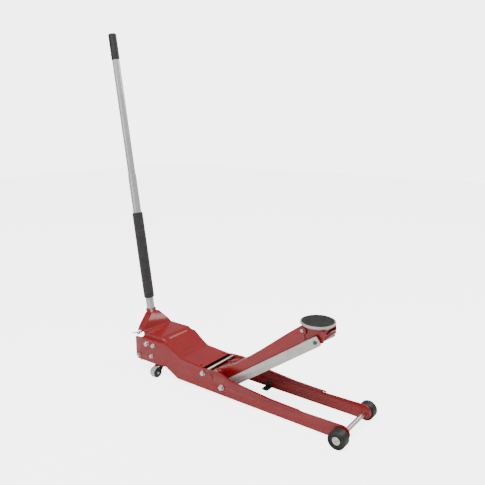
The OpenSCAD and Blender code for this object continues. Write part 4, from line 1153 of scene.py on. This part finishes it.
class JACK_OT_handle(bpy.types.Operator):
    """Makes the two handle tubes, the foam sleeve, the grip, the lock button and its leaf spring"""
    bl_idname = "jack.handle"
    bl_label = "Handle"

    def execute(self, context):
        r, wall = 0.018, 0.00195
        bottom, joint, top = -0.096, 0.627, 1.241
        bm = lathe(rounded([(r - wall, bottom), (r, bottom), (r, joint), (r - wall, joint)], 0.0006), 72)
        on_handle(bm)
        piece("lower_tube", bm, FINISH["tube"], "handle", ["lower_tube"])
        r2 = r - wall - 0.00005
        low, high = joint - 0.14, top - 0.002
        bm = lathe(rounded([(r2 - wall, low), (r2, low), (r2, high), (r2 - wall, high)], 0.0006), 72)
        on_handle(bm)
        piece("upper_tube", bm, FINISH["tube"], "handle", ["upper_tube"])
        # foam sleeve, a little fuller between its ends
        low, high, rf = 0.055, 0.453, 0.024
        outer = []
        for k in range(25):
            t = k / 24
            soft = 0.0004 * math.sin(math.pi * t) - 0.0004
            outer.append((rf + soft, low + 0.003 + t * (high - low - 0.006)))
        outline = [(r, low), (rf - 0.003, low)] + outer + [(rf - 0.003, high), (r, high)]
        bm = lathe([tuple(p) for p in rounded(outline, 0.0016)], 72)
        on_handle(bm)
        foam = piece("foam_sleeve", bm, FINISH["foam"], "handle", ["foam_sleeve"])
        g = 0.110
        outline = [(r2, top - g), (r2 + 0.0014, top - g), (r2 + 0.002, top - g + 0.002), (r2 + 0.002, top - 0.003),
                   (r2 - 0.001, top), (0, top), (0, top - 0.002), (r2, top - 0.002)]
        bm = lathe([tuple(p) for p in rounded(outline[:5], 0.0008, closed=False)] + outline[5:], 72)
        on_handle(bm)
        piece("grip", bm, FINISH["grip"], "handle", ["grip"])
        inner = r2 - wall
        bm = lathe([(0, inner - 0.0034), (0.0055, inner - 0.0034), (0.0055, inner - 0.0018), (0.004, inner - 0.0018),
                    (0.004, r + 0.0018), (0.0033, r + 0.0026), (0.002, r + 0.003), (0, r + 0.003)], 40)
        bm.transform(Matrix.Translation((0, 0, joint - 0.046)) @ Matrix.Rotation(math.radians(-50), 4, "Z")
                     @ Matrix.Rotation(math.pi / 2, 4, "Y"))
        on_handle(bm)
        piece("lock_button", bm, FINISH["steel"], "button", ["lock_button"])
        piece("button_spring", copied("button_spring"), FINISH["spring"], "handle", ["button_spring"],
              edge=0.0002)
        return {"FINISHED"}


# ---------------------------------------------------------------- stage

class JACK_OT_stage(bpy.types.Operator):
    """Lays the floor, hangs the lights and sets the camera"""
    bl_idname = "jack.stage"
    bl_label = "Stage"

    def execute(self, context):
        scene = context.scene
        bm = bmesh.new()
        bmesh.ops.create_grid(bm, x_segments=8, y_segments=8, size=9)
        mesh = bpy.data.meshes.new("floor")
        bm.to_mesh(mesh)
        bm.free()
        floor = bpy.data.objects.new("floor", mesh)
        scene.collection.objects.link(floor)
        mesh.materials.append(FINISH["floor"])
        # the backdrop and the floor look brighter to the camera than the light that they give off
        world = scene.world or bpy.data.worlds.new("studio")
        scene.world = world
        world.use_nodes = True
        sky = world.node_tree.nodes.get("Background")
        sky.inputs["Color"].default_value = (1, 1, 1, 1)
        shader = FINISH["floor"].node_tree.nodes["Principled BSDF"]
        shader.inputs["Emission Color"].default_value = (1, 1, 1, 1)
        for tree, low, high, strength in ((world.node_tree, 0.36, 5.0, sky.inputs["Strength"]),
                                          (FINISH["floor"].node_tree, 0.0, 4.2, shader.inputs["Emission Strength"])):
            ray = add_node(tree, "ShaderNodeLightPath")
            glow = add_node(tree, "ShaderNodeMapRange", {
                "Value": ray.outputs["Is Camera Ray"], "To Min": low, "To Max": high})
            tree.links.new(glow.outputs[0], strength)
        for name, at, size, power in (("key", (0.2, -1.2, 3.4), 1.8, 95), ("side", (-0.6, -3.4, 1.6), 2.0, 22),
                                      ("rim", (1.6, 2.4, 2.8), 1.8, 45)):
            light = bpy.data.lights.new(name, "AREA")
            light.size = size
            light.energy = power
            lamp = bpy.data.objects.new(name, light)
            lamp.location = at
            lamp.rotation_euler = (Vector((0, 0, 0.2)) - Vector(at)).to_track_quat("-Z", "Y").to_euler()
            scene.collection.objects.link(lamp)
        # the photo's camera, as it was solved: direction, place, and focal length in pixels
        az, el = math.radians(36.68), math.radians(12.60)
        focal, width = 544.0, 485
        back = Vector((math.sin(az) * math.cos(el), -math.cos(az) * math.cos(el), math.sin(el)))
        cam = bpy.data.cameras.new("camera")
        cam.sensor_width = 36
        cam.lens = focal / width * cam.sensor_width
        eye = bpy.data.objects.new("camera", cam)
        eye.location = (Place.axle.x + 0.7482, -1.6833, 1.1154)
        eye.rotation_euler = back.to_track_quat("Z", "Y").to_euler()
        scene.collection.objects.link(eye)
        scene.camera = eye
        return {"FINISHED"}


STEPS = (JACK_OT_side_plates, JACK_OT_cover, JACK_OT_frame_fittings, JACK_OT_frame_bolts, JACK_OT_front_wheels,
         JACK_OT_casters, JACK_OT_lift_arm, JACK_OT_link_bars, JACK_OT_saddle, JACK_OT_power_unit, JACK_OT_springs,
         JACK_OT_socket, JACK_OT_handle, JACK_OT_stage)


class JACK_PT_sidebar(bpy.types.Panel):
    """Lists the jack's settings and building steps"""
    bl_label = "Trolley jack"
    bl_idname = "JACK_PT_sidebar"
    bl_space_type = "VIEW_3D"
    bl_region_type = "UI"
    bl_category = "Jack"

    def draw(self, context):
        settings = context.scene.jack_look
        for key in ("paint", "zinc", "edge", "stud", "wire", "turns", "weld"):
            self.layout.prop(settings, key)
        for step in STEPS:
            self.layout.operator(step.bl_idname)


CLASSES = (JackLook,) + STEPS + (JACK_PT_sidebar,)


def register():
    """Adds the settings, steps and panel to Blender."""
    for cls in CLASSES:
        bpy.utils.register_class(cls)
    bpy.types.Scene.jack_look = PointerProperty(type=JackLook)


def unregister():
    """Takes them away again."""
    del bpy.types.Scene.jack_look
    for cls in reversed(CLASSES):
        bpy.utils.unregister_class(cls)


def main():
    """Makes every piece."""
    register()
    make_finishes(look())
    for step in STEPS:
        group, call = step.bl_idname.split(".")
        getattr(getattr(bpy.ops, group), call)()


if __name__ == "__main__":
    main()
